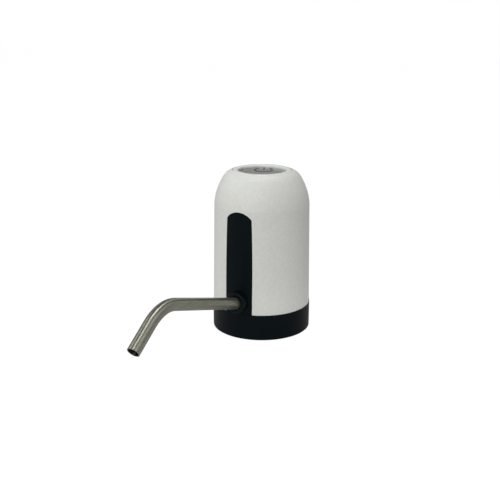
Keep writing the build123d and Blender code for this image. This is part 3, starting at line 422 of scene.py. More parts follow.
@dataclass(frozen=True)
class Moulded(Finish):
    """Moulded plastic or rubber, from satin to gloss."""

    specular: float = 0.5
    grain_scale: float = 2600.0
    grain: float = 0.12
    tone: float = 0.9
    drift: float = 0.35
    drift_scale: float = 26.0
    rub: float = 0.12
    coat: float = 0.0
    coat_roughness: float = 0.06
    scatter: float = 0.0
    scatter_depth: float = 2 * MM
    sheen_tint: Colour = WHITE
    mottle: float = 1.0
    mottle_scale: float = 460.0

    def make(self) -> Material:
        """Builds the material.

        Returns:
            The material.
        """
        recipe = Recipe.begin(self.name)
        tone = recipe.group(
            DRIFT,
            Color=shaded(self.colour, 1.0),
            Shade=shaded(self.colour, self.tone),
            Scale=self.drift_scale,
            Amount=self.drift,
        )
        if self.mottle < 1.0:
            dark = shaded(self.colour, self.mottle)
            tone = recipe.group(DRIFT, Color=tone, Shade=dark, Scale=self.mottle_scale, Amount=1.0)
        recipe.set(
            Base_Color=tone,
            Roughness=recipe.group(POLISH, Roughness=self.roughness, Rub=self.rub),
            Normal=recipe.group(GRAIN, Scale=self.grain_scale, Strength=self.grain),
            Specular_IOR_Level=self.specular,
            Specular_Tint=(*self.sheen_tint, 1.0),
            Coat_Weight=self.coat,
            Coat_Roughness=self.coat_roughness,
        )
        if self.scatter:
            recipe.set(Subsurface_Weight=self.scatter, Subsurface_Scale=self.scatter_depth)
        return recipe.material


@dataclass(frozen=True)
class LinedMetal(Finish):
    """Metal with fine lighter and darker lines along one axis."""

    lines: Triple = (5200.0, 60.0, 60.0)
    line_noise: tuple[float, float] = (5.0, 0.62)
    line_range: tuple[float, float] = (0.35, 0.65)
    line_contrast: float = 0.82
    wander: float = 0.08
    rub: float = 0.05

    def lined(self) -> tuple[Recipe, Socket, Socket]:
        """Starts the material, with its roughness.

        Returns:
            The material under construction, the pattern of the lines and their colour.
        """
        recipe = Recipe.begin(self.name)
        pattern = recipe.lines(self.lines, *self.line_noise)
        dark = shaded(self.colour, self.line_contrast)[:3]
        low, high = self.line_range
        recipe.set(
            Roughness=recipe.group(POLISH, Roughness=self.roughness, Wander=self.wander, Rub=self.rub),
            Metallic=1.0,
        )
        return recipe, pattern, recipe.ramp(pattern, ((low, dark), (high, self.colour)))


@dataclass(frozen=True)
class DrawnSteel(LinedMetal):
    """Drawn or turned metal, whose lines are cut into it."""

    cut: float = 0.1
    cut_depth: float = 0.01 * MM

    def make(self) -> Material:
        """Builds the material.

        Returns:
            The material.
        """
        recipe, pattern, colour = self.lined()
        bump = add_node(
            recipe.tree, "Bump", None, Height=pattern, Strength=self.cut, Distance=self.cut_depth
        )
        recipe.set(Base_Color=colour, Normal=bump.outputs["Normal"])
        return recipe.material


@dataclass(frozen=True)
class PolishedTube(LinedMetal):
    """Tube polished round its girth: faint streaks along it, reflections drawn out lengthwise."""

    lines: Triple = (900.0, 26.0, 700.0)
    line_noise: tuple[float, float] = (4.0, 0.6)
    line_range: tuple[float, float] = (0.36, 0.62)
    line_contrast: float = 0.80
    wander: float = 0.04
    rub: float = 0.04
    stretch_share: float = 0.9
    # Painted shade inside the bore: its reach, its darkest tone, the occlusion range and the samples.
    bore_depth: float = 20 * MM
    bore_shade_tone: float = 0.15
    bore_range: tuple[float, float] = (0.25, 0.75)
    bore_samples: int = 8

    def make(self) -> Material:
        """Builds the material.

        Returns:
            The material.
        """
        recipe, _, colour = self.lined()
        recipe.set(
            Base_Color=self.painted_bore_shade(recipe, colour),
            Tangent=self.along(recipe),
            Anisotropic=self.stretch_share,
        )
        return recipe.material

    def painted_bore_shade(self, recipe: Recipe, colour: Socket) -> Socket:
        """Paints shade into a colour, darker where the bore closes round the surface.

        Args:
            recipe: The material under construction.
            colour: The colour outside the bore.

        Returns:
            The colour outside the bore, with painted shade inside it.
        """
        # Painted shade: ambient occlusion darkens the colour inside the bore.
        closed = add_node(
            recipe.tree,
            "AmbientOcclusion",
            {"samples": self.bore_samples, "only_local": True},
            Distance=self.bore_depth,
        )
        open_share = graded(recipe.tree, closed.outputs["AO"], *self.bore_range)
        bore = shaded(self.colour, self.bore_shade_tone)
        return blended(recipe.tree, Blend.COLOURS, open_share, bore, colour)

    def along(self, recipe: Recipe) -> Socket:
        """Returns the direction along a tube that bends in the plane across X."""
        face = add_node(recipe.tree, "NewGeometry")
        return combined(recipe.tree, "VectorMath", "CROSS_PRODUCT", face.outputs["Normal"], (1.0, 0.0, 0.0))


@dataclass(frozen=True)
class SmokedMirror(Finish):
    """The button's face: smoked mirror under a clear coat, with faint wipe marks."""

    tone: float = 0.86
    drift: float = 0.5
    drift_scale: float = 55.0
    wipes: Triple = (120.0, 900.0, 120.0)
    wipe_noise: tuple[float, float] = (6.0, 0.7)
    smoothest: float = 0.7
    roughest: float = 1.5
    coat: float = 0.3
    coat_roughness: float = 0.05

    def make(self) -> Material:
        """Builds the material.

        Returns:
            The material.
        """
        recipe = Recipe.begin(self.name)
        wipe = recipe.lines(self.wipes, *self.wipe_noise)
        smooth, rough = self.roughness * self.smoothest, self.roughness * self.roughest
        tone = recipe.group(
            DRIFT,
            Color=shaded(self.colour, 1.0),
            Shade=shaded(self.colour, self.tone),
            Scale=self.drift_scale,
            Amount=self.drift,
        )
        recipe.set(
            Base_Color=tone,
            Roughness=graded(recipe.tree, wipe, 0.0, 1.0, smooth, rough),
            Metallic=1.0,
            Coat_Weight=self.coat,
            Coat_Roughness=self.coat_roughness,
        )
        return recipe.material


@dataclass(frozen=True)
class Clear(Finish):
    """Clear or milky resin and silicone that light passes through."""

    transmission: float
    tone: float = 0.92
    drift: float = 0.3
    drift_scale: float = 80.0
    grain_scale: float = 1500.0
    grain: float = 0.06
    refraction: float = 1.45

    def make(self) -> Material:
        """Builds the material.

        Returns:
            The material.
        """
        recipe = Recipe.begin(self.name)
        tone = recipe.group(
            DRIFT,
            Color=shaded(self.colour, 1.0),
            Shade=shaded(self.colour, self.tone),
            Scale=self.drift_scale,
            Amount=self.drift,
        )
        recipe.set(
            Base_Color=tone,
            Roughness=self.roughness,
            Normal=recipe.group(GRAIN, Scale=self.grain_scale, Strength=self.grain),
            Transmission_Weight=self.transmission,
            IOR=self.refraction,
        )
        return recipe.material


@dataclass(frozen=True)
class BoardLacquer(Finish):
    """Lacquer over copper tracks."""

    track: Colour
    shade: float = 0.75
    row_offset: float = 0.37
    track_scale: float = 260.0
    track_w: float = 0.05
    grain_scale: float = 1800.0
    grain: float = 0.1
    coat: float = 0.4

    def make(self) -> Material:
        """Builds the material.

        Returns:
            The material.
        """
        recipe = Recipe.begin(self.name)
        tracks = add_node(
            recipe.tree,
            "TexBrick",
            {"offset": self.row_offset},
            Vector=recipe.place,
            Scale=self.track_scale,
            Mortar_Size=self.track_w,
            Color1=shaded(self.colour, 1.0),
            Color2=shaded(self.colour, self.shade),
            Mortar=shaded(self.track, 1.0),
        )
        recipe.set(
            Base_Color=tracks.outputs["Color"],
            Roughness=self.roughness,
            Normal=recipe.group(GRAIN, Scale=self.grain_scale, Strength=self.grain),
            Coat_Weight=self.coat,
        )
        return recipe.material


@dataclass(frozen=True)
class TwoTone(Finish):
    """Insulation of a pair of leads: one colour each side of a plane across X."""

    right: Colour
    middle: float
    grain_scale: float = 2200.0
    grain: float = 0.08

    def make(self) -> Material:
        """Builds the material.

        Returns:
            The material.
        """
        recipe = Recipe.begin(self.name)
        axes = add_node(recipe.tree, "SeparateXYZ", None, Vector=recipe.place)
        side = combined(recipe.tree, "Math", "GREATER_THAN", axes.outputs["X"], self.middle)
        recipe.set(
            Base_Color=recipe.ramp(side, ((0.0, self.colour), (1.0, self.right))),
            Roughness=self.roughness,
            Normal=recipe.group(GRAIN, Scale=self.grain_scale, Strength=self.grain),
        )
        return recipe.material


# ---- Modelling

# Least angles of an edge that is bevelled, in degrees.
SHARP_ANGLE = 30.0
BLUNT_ANGLE = 50.0


def clear_selection() -> None:
    """Deselects every object, so that an operator acts on the new one alone."""
    if bpy.context.object is not None and bpy.context.object.mode != "OBJECT":
        bpy.ops.object.mode_set(mode="OBJECT")
    bpy.ops.object.select_all(action="DESELECT")


def pick(piece: Piece) -> None:
    """Makes one object the only selected one and the active one.

    Args:
        piece: The object.
    """
    clear_selection()
    piece.select_set(True)
    bpy.context.view_layer.objects.active = piece


def named(name: str) -> Piece:
    """Names the object that an operator has just made, and its mesh.

    Args:
        name: The new name.

    Returns:
        The object.
    """
    piece = bpy.context.object
    piece.name = name
    piece.data.name = name
    return piece


def apply_size(piece: Piece, size: Triple = (1.0, 1.0, 1.0)) -> None:
    """Scales a newly made object and writes its place, turn and size into its mesh."""
    piece.scale = size
    bpy.ops.object.transform_apply(location=True, rotation=True, scale=True)


def open_tube(name: str, low_r: float, high_r: float, height: float, middle_z: float) -> Piece:
    """Adds a thin tube or cone about the Z axis, open at both ends.

    Args:
        name: The new object's name.
        low_r: Its radius at the bottom.
        high_r: Its radius at the top.
        height: Its height.
        middle_z: The height of its middle.

    Returns:
        The new object.
    """
    clear_selection()
    bpy.ops.mesh.primitive_cone_add(
        vertices=ROUND_POINTS,
        radius1=low_r,
        radius2=high_r,
        depth=height,
        end_fill_type="NOTHING",
        location=(0.0, 0.0, middle_z),
    )
    return named(name)


def divide(piece: Piece, cuts: int) -> None:
    """Divides every edge of a piece.

    Args:
        piece: The piece.
        cuts: How many cuts each edge gets.
    """
    pick(piece)
    bpy.ops.object.mode_set(mode="EDIT")
    bpy.ops.mesh.select_all(action="SELECT")
    bpy.ops.mesh.subdivide(number_cuts=cuts)
    bpy.ops.object.mode_set(mode="OBJECT")


def thicken(piece: Piece, thickness: float, offset: float = -1.0) -> None:
    """Adds a wall to a thin piece.

    Args:
        piece: The piece.
        thickness: The wall's thickness.
        offset: -1 for a wall that grows inwards and 1 for one that grows outwards.
    """
    wall = piece.modifiers.new("wall", "SOLIDIFY")
    wall.thickness = thickness
    wall.offset = offset


def bevel(piece: Piece, width: float, segments: int = 2, angle: float = SHARP_ANGLE) -> None:
    """Adds a bevel on a piece's sharp edges.

    Args:
        piece: The piece.
        width: The bevel's width.
        segments: How many faces it has across.
        angle: The least angle of a sharp edge, in degrees.
    """
    modifier = piece.modifiers.new("bevel", "BEVEL")
    modifier.width = width
    modifier.segments = segments
    modifier.limit_method = "ANGLE"
    modifier.angle_limit = math.radians(angle)


def edit_select(piece: Piece, element: Element, wanted: Callable[[Vector, Vector], bool]) -> None:
    """Opens edit mode with only the faces or points selected that a test accepts.

    Args:
        piece: The piece, in object mode.
        element: What is selected.
        wanted: A test that takes a place and a normal.
    """
    pick(piece)
    bpy.ops.object.mode_set(mode="EDIT")
    bpy.ops.mesh.select_mode(type=element.value)
    bpy.ops.mesh.select_all(action="DESELECT")
    bpy.ops.object.mode_set(mode="OBJECT")
    if element is Element.FACE:
        for face in piece.data.polygons:
            face.select = bool(wanted(face.center, face.normal))
    else:
        for point in piece.data.vertices:
            point.select = bool(wanted(point.co, point.normal))
    bpy.ops.object.mode_set(mode="EDIT")


def join(name: str, parts: list[Piece]) -> Piece:
    """Joins pieces into one object.

    Args:
        name: The joined object's name.
        parts: The pieces.

    Returns:
        The joined object.
    """
    pick(parts[0])
    for part in parts[1:]:
        part.select_set(True)
    bpy.ops.object.join()
    return named(name)


def repeated(piece: Piece, places: list[Matrix]) -> list[Piece]:
    """Copies a piece, gives each copy its own mesh and sets each in its place.

    Args:
        piece: The piece, with its place in its mesh, which becomes the first one.
        places: How each one is moved and turned from there.

    Returns:
        The pieces, with their numbers from 1 after the name.
    """
    name = piece.name
    pieces = [piece]
    for _ in places[1:]:
        pick(piece)
        bpy.ops.object.duplicate()
        pieces.append(bpy.context.object)
    for number, (one, place) in enumerate(zip(pieces, places), 1):
        one.name = one.data.name = f"{name}_{number}"
        one.matrix_world = place
    return pieces


def finish_mesh(piece: Piece) -> None:
    """Applies a piece's modifiers, merges doubles, turns faces outwards and smooths by angle.

    Args:
        piece: The piece.
    """
    pick(piece)
    for modifier in list(piece.modifiers):
        bpy.ops.object.modifier_apply(modifier=modifier.name)
    bpy.ops.object.mode_set(mode="EDIT")
    bpy.ops.mesh.select_all(action="SELECT")
    bpy.ops.mesh.remove_doubles(threshold=MERGE_REACH)
    bpy.ops.mesh.normals_make_consistent(inside=False)
    bpy.ops.object.mode_set(mode="OBJECT")
    bpy.ops.object.transform_apply(location=True, rotation=True, scale=True)
    bpy.ops.object.shade_smooth_by_angle(angle=SMOOTH_ANGLE)


def dress(piece: Piece, material: Material) -> None:
    """Gives a piece one material in all its slots.

    Args:
        piece: The piece.
        material: The material.
    """
    if not piece.material_slots:
        piece.data.materials.append(material)
    for slot in piece.material_slots:
        slot.material = material


# Sub-assemblies ---------------------------------------------------------------------------


@dataclass
class Assembly:
    """A group of construction nodes, each with its finish."""

    finishes: dict[str, Material]

    def dress_nodes(self, plan: dict[str, str]) -> None:
        """Gives nodes their finishes.

        Args:
            plan: The name of each node's finish.
        """
        for node, finish in plan.items():
            dress(frame["nodes"][node], self.finishes[finish])
            LOG.info("%s is %s", node, finish)

    def add(self, piece: Piece, body: Body, slot: str, finish: str) -> None:
        """Finishes and dresses a new piece, lets it ride on its body and reports it.

        Args:
            piece: The piece.
            body: The body that it rides on.
            slot: The record's material slot that it belongs to. Not used.
            finish: The name of its finish.
        """
        finish_mesh(piece)
        dress(piece, self.finishes[finish])
        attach(piece, body.value)
        LOG.info("%s rides on %s", piece.name, body.value)


@dataclass
class Casing(Assembly):
    """Shell, front strip, base, collar and what holds them."""

    def build(self) -> None:
        """Dresses the casing's pieces."""
        self.dress_nodes(
            {
                "outer_shell": "white_shell",
                "front_strip": "black_gloss",
                "base_housing": "black_satin",
                "spout_collar": "collar_black",
                "neck_seal": "rubber",
                "case_screws": "steel",
                "chassis": "chassis_white",
            }
        )


@dataclass
class TopButton(Assembly):
    """Bezel, button with its mark, carrier, dome and switch. Angles are in degrees."""

    mark_r: float = 6.7 * MM
    mark_w: float = 1.3 * MM
    mark_t: float = 0.08 * MM
    mark_proud: float = 0.04 * MM
    mark_lift: float = 2.0 * MM
    mark_gap: float = 72.0
    mark_back: float = 8.6 * MM
    mark_turn: float = 21.0
    ring_points: int = 96
    bar_l: float = 7.6 * MM
    bar_rise: float = 0.62
    bar_cuts: int = 7
    slot_turn: float = 175.0
    slot_w: float = 0.55 * MM
    slot_h: float = 1.6 * MM
    slot_drop: float = 0.6
    slot_cuts: int = 5
    dome_wall: float = 0.9 * MM
    dome_low_inset: float = 0.6 * MM
    dome_top_inset: float = 2.8 * MM
    dome_cuts: int = 3
    dome_round: float = 0.2 * MM
    foot_h: float = 0.8 * MM
    foot_w: float = 2.0 * MM
    foot_round: float = 0.15 * MM
    travel: float = 0.6 * MM

    def build(self) -> None:
        """Dresses the nodes and adds the mark, the painted slot shade and the dome."""
        self.dress_nodes(
            {
                "top_bezel": "white_gloss",
                "power_button": "button_mirror",
                "button_carrier": "milky",
                "switch_body": "black_moulded",
                "switch_plunger": "ivory",
            }
        )
        self.power_mark()
        self.bezel_slot()
        self.return_dome()

    def power_mark(self) -> None:
        """Adds the printed power mark, a broken ring and an upright bar, laid on the dished cap."""
        turn = math.radians(self.mark_turn)
        up = Vector((-math.sin(turn), math.cos(turn), 0.0))
        centre = up * self.mark_back
        centre.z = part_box("power_button")[1].z + self.mark_lift
        mark = join("power_mark", [self.mark_ring(centre, up), self.mark_bar(centre, up)])
        lay = mark.modifiers.new("lay", "SHRINKWRAP")
        lay.target = frame["nodes"]["power_button"]
        lay.wrap_method = "PROJECT"
        lay.use_project_z = True
        lay.use_negative_direction = True
        lay.use_positive_direction = False
        lay.offset = self.mark_proud
        thicken(mark, self.mark_t)
        self.add(mark, Body.BUTTON, "button_mirror", "mark_print")

    def mark_ring(self, centre: Vector, up: Vector) -> Piece:
        """Models the mark's flat ring, open at its top.

        Args:
            centre: The ring's centre.
            up: The direction of its opening.

        Returns:
            The ring.
        """
        inner = self.mark_r - self.mark_w / 2
        widen = (self.mark_r + self.mark_w / 2) / inner
        gap = math.cos(math.radians(self.mark_gap / 2))
        clear_selection()
        bpy.ops.mesh.primitive_circle_add(
            vertices=self.ring_points, radius=inner, fill_type="NOTHING", location=centre
        )
        ring = named("power_mark_ring")
        apply_size(ring)
        edit_select(ring, Element.POINT, lambda place, normal: (place - centre).normalized().dot(up) > gap)
        bpy.ops.mesh.delete(type="VERT")
        bpy.ops.mesh.select_all(action="SELECT")
        bpy.ops.mesh.extrude_edges_move()
        bpy.ops.transform.resize(value=(widen, widen, 1.0), center_override=centre)
        bpy.ops.object.mode_set(mode="OBJECT")
        return ring

    def mark_bar(self, centre: Vector, up: Vector) -> Piece:
        """Models the mark's flat bar.

        Args:
            centre: The ring's centre.
            up: The direction of the bar.

        Returns:
            The bar.
        """
        clear_selection()
        bpy.ops.mesh.primitive_plane_add(
            size=1.0,
            location=centre + up * self.mark_r * self.bar_rise,
            rotation=(0.0, 0.0, math.radians(self.mark_turn)),
        )
        bar = named("power_mark_bar")
        apply_size(bar, (self.mark_w, self.bar_l, 1.0))
        divide(bar, self.bar_cuts)
        return bar

    def bezel_slot(self) -> None:
        """Adds a thin dark sheet on the bezel's inner wall, level with the cap's edge: painted shade
        standing in for a small slot.
        """
        turn = math.radians(self.slot_turn)
        cap_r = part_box("power_button")[1].x
        middle_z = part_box("top_bezel")[1].z - self.slot_h * self.slot_drop
        # Painted shade: a thin dark sheet where a small slot would be.
        clear_selection()
        bpy.ops.mesh.primitive_plane_add(
            size=1.0,
            location=(math.cos(turn) * cap_r, math.sin(turn) * cap_r, middle_z),
            rotation=(math.radians(90), 0.0, turn + math.radians(90)),
        )
        slot = named("bezel_slot")
        apply_size(slot, (self.slot_w, self.slot_h, 1.0))
        divide(slot, self.slot_cuts)
        lay = slot.modifiers.new("lay", "SHRINKWRAP")
        lay.target = frame["nodes"]["top_bezel"]
        lay.offset = self.mark_proud
        thicken(slot, self.mark_t, offset=1.0)
        self.add(slot, Body.HOUSING, "rubber", "rubber")

    def return_dome(self) -> None:
        """Adds the rubber dome on the housing, in place of the construction's own."""
        low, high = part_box("return_dome")
        outer = high.x
        height = high.z - low.z
        cone = open_tube(
            "rubber_dome_cone",
            outer - self.dome_low_inset,
            outer - self.dome_top_inset,
            height,
            (low.z + high.z) / 2,
        )
        divide(cone, self.dome_cuts)
        thicken(cone, self.dome_wall)
        bevel(cone, self.dome_round, angle=BLUNT_ANGLE)
        finish_mesh(cone)
        foot = open_tube("rubber_dome_foot", outer, outer, self.foot_h, low.z + self.foot_h / 2)
        thicken(foot, self.foot_w)
        bevel(foot, self.foot_round, angle=BLUNT_ANGLE)
        finish_mesh(foot)
        dome = join("rubber_dome", [cone, foot])
        self.add(dome, Body.HOUSING, "rubber", "dome_rubber")
        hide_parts("return_dome")
        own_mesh(dome)


@dataclass
class Electronics(Assembly):
    """Control board, charging board, cell and leads."""

    contact_w: float = 0.4 * MM
    contact_l: float = 3.6 * MM
    contact_t: float = 0.12 * MM
    contact_round: float = 0.03 * MM
    contact_pitch: float = 0.65 * MM
    contact_inset: float = 0.9 * MM
    contact_sink: float = 0.05 * MM
    tongue_rise: float = 1.25 * MM
    contacts: int = 5

    def build(self) -> None:
        """Dresses the electric pieces and adds the charging socket's contacts."""
        self.dress_nodes(
            {
                "control_board": "board",
                "charge_board": "board",
                "control_chips": "chip_black",
                "lead_sockets": "ivory",
                "lamp_leds": "clear",
                "board_screws": "steel",
                "battery_cell": "wrap",
                "battery_tabs": "nickel",
                "battery_pads": "foam",
                "charge_port": "nickel",
                "motor_leads": "motor_lead",
                "battery_leads": "battery_lead",
                "charge_leads": "charge_lead",
            }
        )
        self.port_contacts()

    def port_contacts(self) -> None:
        """Adds the gold contacts on the charging socket's tongue."""
        low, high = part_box("charge_port")
        y = high.y - self.contact_inset - self.contact_l / 2
        z = low.z + self.tongue_rise - self.contact_sink
        clear_selection()
        bpy.ops.mesh.primitive_cube_add(size=1.0, location=(0.0, y, z))
        contact = named("port_contact")
        apply_size(contact, (self.contact_w, self.contact_l, self.contact_t))
        bevel(contact, self.contact_round)
        steps = [number - (self.contacts - 1) / 2 for number in range(self.contacts)]
        for piece in repeated(contact, [Matrix.Translation((n * self.contact_pitch, 0, 0)) for n in steps]):
            self.add(piece, Body.HOUSING, "steel", "gold")


@dataclass
class PumpAndMotor(Assembly):
    """Diaphragm pump and the motor on top of it."""

    poles: int = 3
    first_pole: float = 90.0
    coil_wire: float = 1.0 * MM
    coil_gap: float = 0.15 * MM
    coil_round: float = 0.42 * MM
    pole_half_w: float = 1.6 * MM
    end_facing: float = 0.9
    rim_t: float = 1.8 * MM
    core_r: float = 3.0 * MM
    commutator_h: float = 4.0 * MM

    def build(self) -> None:
        """Dresses the pump and the motor and winds the armature."""
        self.dress_nodes(
            {
                "pump_cushion": "foam",
                "pump_head": "black_moulded",
                "valve_plate": "black_moulded",
                "diaphragm": "rubber",
                "crank_case": "black_moulded",
                "motor_screws": "steel",
                "pump_screws": "steel",
                "wobble_plate": "ivory",
                "eccentric": "black_moulded",
                "crank_pin": "steel",
                "motor_can": "can_steel",
                "motor_magnets": "iron",
                "armature": "iron",
                "motor_shaft": "steel",
                "motor_end_cap": "black_moulded",
            }
        )
        self.windings()

    def windings(self) -> None:
        """Adds a copper coil round each pole of the armature."""
        low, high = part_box("armature")
        shaft_low, shaft_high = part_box("motor_shaft")
        centre = (shaft_low + shaft_high) / 2
        top = high.z - self.commutator_h
        inner = self.core_r + self.coil_gap
        outer = high.x - centre.x - self.rim_t - self.coil_gap
        height = top - low.z + 2 * self.coil_gap + 2 * self.coil_wire
        width = 2 * (self.pole_half_w + self.coil_gap + self.coil_wire)
        clear_selection()
        bpy.ops.mesh.primitive_cube_add(size=1.0)
        coil = named("copper_coil")
        apply_size(coil, (outer - inner, width, height))
        edit_select(coil, Element.FACE, lambda place, normal: abs(normal.x) > self.end_facing)
        bpy.ops.mesh.inset(thickness=self.coil_wire, use_even_offset=True)
        bpy.ops.mesh.bridge_edge_loops()
        bpy.ops.object.mode_set(mode="OBJECT")
        bevel(coil, self.coil_round, segments=4)
        middle = Matrix.Translation((centre.x, centre.y, (low.z + top) / 2))
        reach = Matrix.Translation(((inner + outer) / 2, 0.0, 0.0))
        turns = [math.radians(self.first_pole + 360 * number / self.poles) for number in range(self.poles)]
        for piece in repeated(coil, [middle @ Matrix.Rotation(turn, 4, "Z") @ reach for turn in turns]):
            self.add(piece, Body.ROTOR, "iron", "copper")


@dataclass
class WaterWay(Assembly):
    """Nipple, hose, socket and spout."""

    stem_r: float = 4.0 * MM
    barb_r: float = 4.35 * MM
    barb_l: float = 1.7 * MM
    barb_wall: float = 0.7 * MM
    barb_round: float = 0.08 * MM
    barb_start: float = 1.0 * MM
    barb_pitch: float = 2.1 * MM
    barbs: int = 3

    def build(self) -> None:
        """Dresses the pieces that the water runs through and adds the nipple's barbs."""
        self.dress_nodes(
            {
                "hose_nipple": "black_moulded",
                "nipple_nut": "black_moulded",
                "inlet_seal": "rubber",
                "spout_socket": "black_moulded",
                "o_rings": "rubber",
                "spout_tube": "spout_steel",
                "outlet_hose": "silicone",
            }
        )
        self.nipple_barbs()

    def nipple_barbs(self) -> None:
        """Adds the barbs that hold the suction hose on the nipple."""
        middle_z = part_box("hose_nipple")[0].z + self.barb_start + self.barb_l / 2
        barb = open_tube("nipple_barb", self.stem_r, self.barb_r, self.barb_l, middle_z)
        apply_size(barb)
        thicken(barb, self.barb_wall)
        bevel(barb, self.barb_round, angle=BLUNT_ANGLE)
        rises = [number * self.barb_pitch for number in range(self.barbs)]
        for piece in repeated(barb, [Matrix.Translation((0, 0, rise)) for rise in rises]):
            self.add(piece, Body.HOUSING, "black_satin", "black_moulded")


# ---- Studio


@dataclass(frozen=True)
class SoftLamp:
    """A rectangular area lamp, with its power in watts."""

    name: str
    place: Triple
    size: tuple[float, float]
    power: float

    def hang(self, aim: Vector) -> None:
        """Adds the lamp to the scene.

        Args:
            aim: The point that it faces.
        """
        data = bpy.data.lights.new(self.name, "AREA")
        data.shape = "RECTANGLE"
        data.size, data.size_y = self.size
        data.energy = self.power
        lamp = bpy.data.objects.new(self.name, data)
        bpy.context.scene.collection.objects.link(lamp)
        lamp.location = self.place
        lamp.rotation_euler = (aim - Vector(self.place)).to_track_quat("-Z", "Y").to_euler()


@dataclass
class Studio:
    """Pale floor, soft lights, white surroundings and the camera. Angles are in degrees."""

    camera_reach: float = 0.600
    camera_height: float = 0.2403
    camera_azimuth: float = 28.0
    camera_tilt: float = 16.744
    camera_pan: float = 0.863
    camera_roll: float = 0.089
    clip_start: float = 0.01
    focal_px: float = 805.7
    image_px: float = 500.0
    sensor: float = 36.0
    lamps: tuple[SoftLamp, ...] = (
        SoftLamp("front_lamp", (0.12, -0.84, 0.37), (0.45, 0.45), 2.2),
        SoftLamp("side_lamp", (-0.62, -0.33, 0.56), (0.30, 0.60), 1.1),
        SoftLamp("top_lamp", (0.0, 0.0, 0.96), (0.36, 0.80), 2.75),
    )
    lamp_aim: Triple = (0.0, 0.0, 0.06)
    fill_level: float = 0.47
    mirror_horizon: float = 0.48
    mirror_zenith: float = 0.14
    zenith_start: float = 0.8
    panel_level: float = 0.9
    panel_x: tuple[float, float] = (0.42, 0.62)
    panel_z: tuple[float, float] = (0.3, 0.6)
    floor_half: float = 4.0
    floor_drop: float = 0.1 * MM
    floor_roughness: float = 0.9
    floor_bounce: float = 0.55
    floor_seen: float = 0.12
    floor_glow: float = 0.94
    floor_mirrored: float = 0.05
    under_reach: float = 0.03
    # Painted pool of light: the floor's glow round the pump, with its strength and its core and edge radii.
    pool_level: float = 0.55
    pool_core: float = 0.06
    pool_edge: float = 0.11

    def build(self) -> None:
        """Makes the floor, the world, the lamps and the camera."""
        self.floor()
        self.world()
        for lamp in self.lamps:
            lamp.hang(Vector(self.lamp_aim))
        self.camera()
        bpy.context.scene.view_settings.view_transform = "Standard"

    def seen(self, tree: Tree) -> tuple[Socket, Socket]:
        """Tells apart the rays that a surface is seen by.

        Args:
            tree: The node tree.

        Returns:
            1 for camera rays, and 1 for rays that a mirror or glass passes on.
        """
        path = add_node(tree, "LightPath").outputs
        mirrored = combined(tree, "Math", "MAXIMUM", path["Is Glossy Ray"], path["Is Transmission Ray"])
        return path["Is Camera Ray"], mirrored

    def seen_through(self, tree: Tree) -> Socket:
        """Finds where the floor lets a ray pass: from below, and close under the pump.

        Args:
            tree: The floor's node tree.

        Returns:
            1 where a ray passes.
        """
        path = add_node(tree, "LightPath").outputs
        close = combined(tree, "Math", "LESS_THAN", path["Ray Length"], self.under_reach)
        bounced = combined(tree, "Math", "SUBTRACT", 1.0, path["Is Camera Ray"])
        under = add_node(tree, "NewGeometry").outputs["Backfacing"]
        return combined(tree, "Math", "MAXIMUM", under, product(tree, close, bounced))

    def pool(self, recipe: Recipe) -> Socket:
        """Paints a pool of light round the pump as glow on the floor, which only matt surfaces receive.

        Args:
            recipe: The floor's material under construction.

        Returns:
            The painted glow's strength.
        """
        # Painted light: the floor glows round the pump for matt bounces.
        reach = add_node(recipe.tree, "VectorMath", {"operation": "LENGTH"}, Vector=recipe.place)
        near = graded(recipe.tree, reach.outputs["Value"], self.pool_edge, self.pool_core)
        matt = add_node(recipe.tree, "LightPath").outputs["Is Diffuse Ray"]
        return product(recipe.tree, product(recipe.tree, near, matt), self.pool_level)

    def floor(self) -> None:
        """Makes a pale floor that stays white to the camera, keeps a soft shadow and glows with a painted
        pool of light round the pump.
        """
        clear_selection()
        bpy.ops.mesh.primitive_plane_add(size=2 * self.floor_half, location=(0.0, 0.0, -self.floor_drop))
        floor = named("studio_floor")
        recipe = Recipe.begin("floor_paper")
        tree = recipe.tree
        camera_ray, mirrored = self.seen(tree)
        bounce, seen = shaded(WHITE, self.floor_bounce), shaded(WHITE, self.floor_seen)
        recipe.set(
            Base_Color=blended(tree, Blend.COLOURS, camera_ray, bounce, seen),
            Roughness=self.floor_roughness,
            Specular_IOR_Level=0.0,
        )
        to_camera = product(tree, camera_ray, self.floor_glow)
        to_mirror = product(tree, mirrored, self.floor_mirrored)
        strength = total(tree, total(tree, to_camera, to_mirror), self.pool(recipe))
        glow = add_node(tree, "Emission", None, Strength=strength)
        paper = add_node(tree, "AddShader")
        feed(tree, recipe.shader.outputs["BSDF"], paper.inputs[0])
        feed(tree, glow.outputs["Emission"], paper.inputs[1])
        sheer = add_node(tree, "MixShader", None, Fac=self.seen_through(tree))
        feed(tree, paper.outputs["Shader"], sheer.inputs[1])
        feed(tree, add_node(tree, "BsdfTransparent").outputs["BSDF"], sheer.inputs[2])
        feed(tree, sheer.outputs["Shader"], tree.nodes["Material Output"].inputs["Surface"])
        dress(floor, recipe.material)

    def world(self) -> None:
        """Makes surroundings that are white to the camera, graded in mirrors and plain as light."""
        world = bpy.data.worlds.new("studio_world")
        bpy.context.scene.world = world
        world.use_nodes = True
        tree = world.node_tree
        camera_ray, mirrored = self.seen(tree)
        coords = add_node(tree, "TexCoord")
        axes = add_node(tree, "SeparateXYZ", None, Vector=coords.outputs["Generated"]).outputs
        sky = graded(tree, axes["Z"], 0.0, self.zenith_start, self.mirror_horizon, self.mirror_zenith)
        panel = product(tree, graded(tree, axes["X"], *self.panel_x), graded(tree, axes["Z"], *self.panel_z))
        mirror = total(tree, sky, product(tree, panel, self.panel_level))
        light = blended(tree, Blend.VALUES, mirrored, self.fill_level, mirror)
        background = tree.nodes["Background"].inputs
        feed(tree, shaded(WHITE, 1.0), background["Color"])
        feed(tree, blended(tree, Blend.VALUES, camera_ray, light, 1.0), background["Strength"])

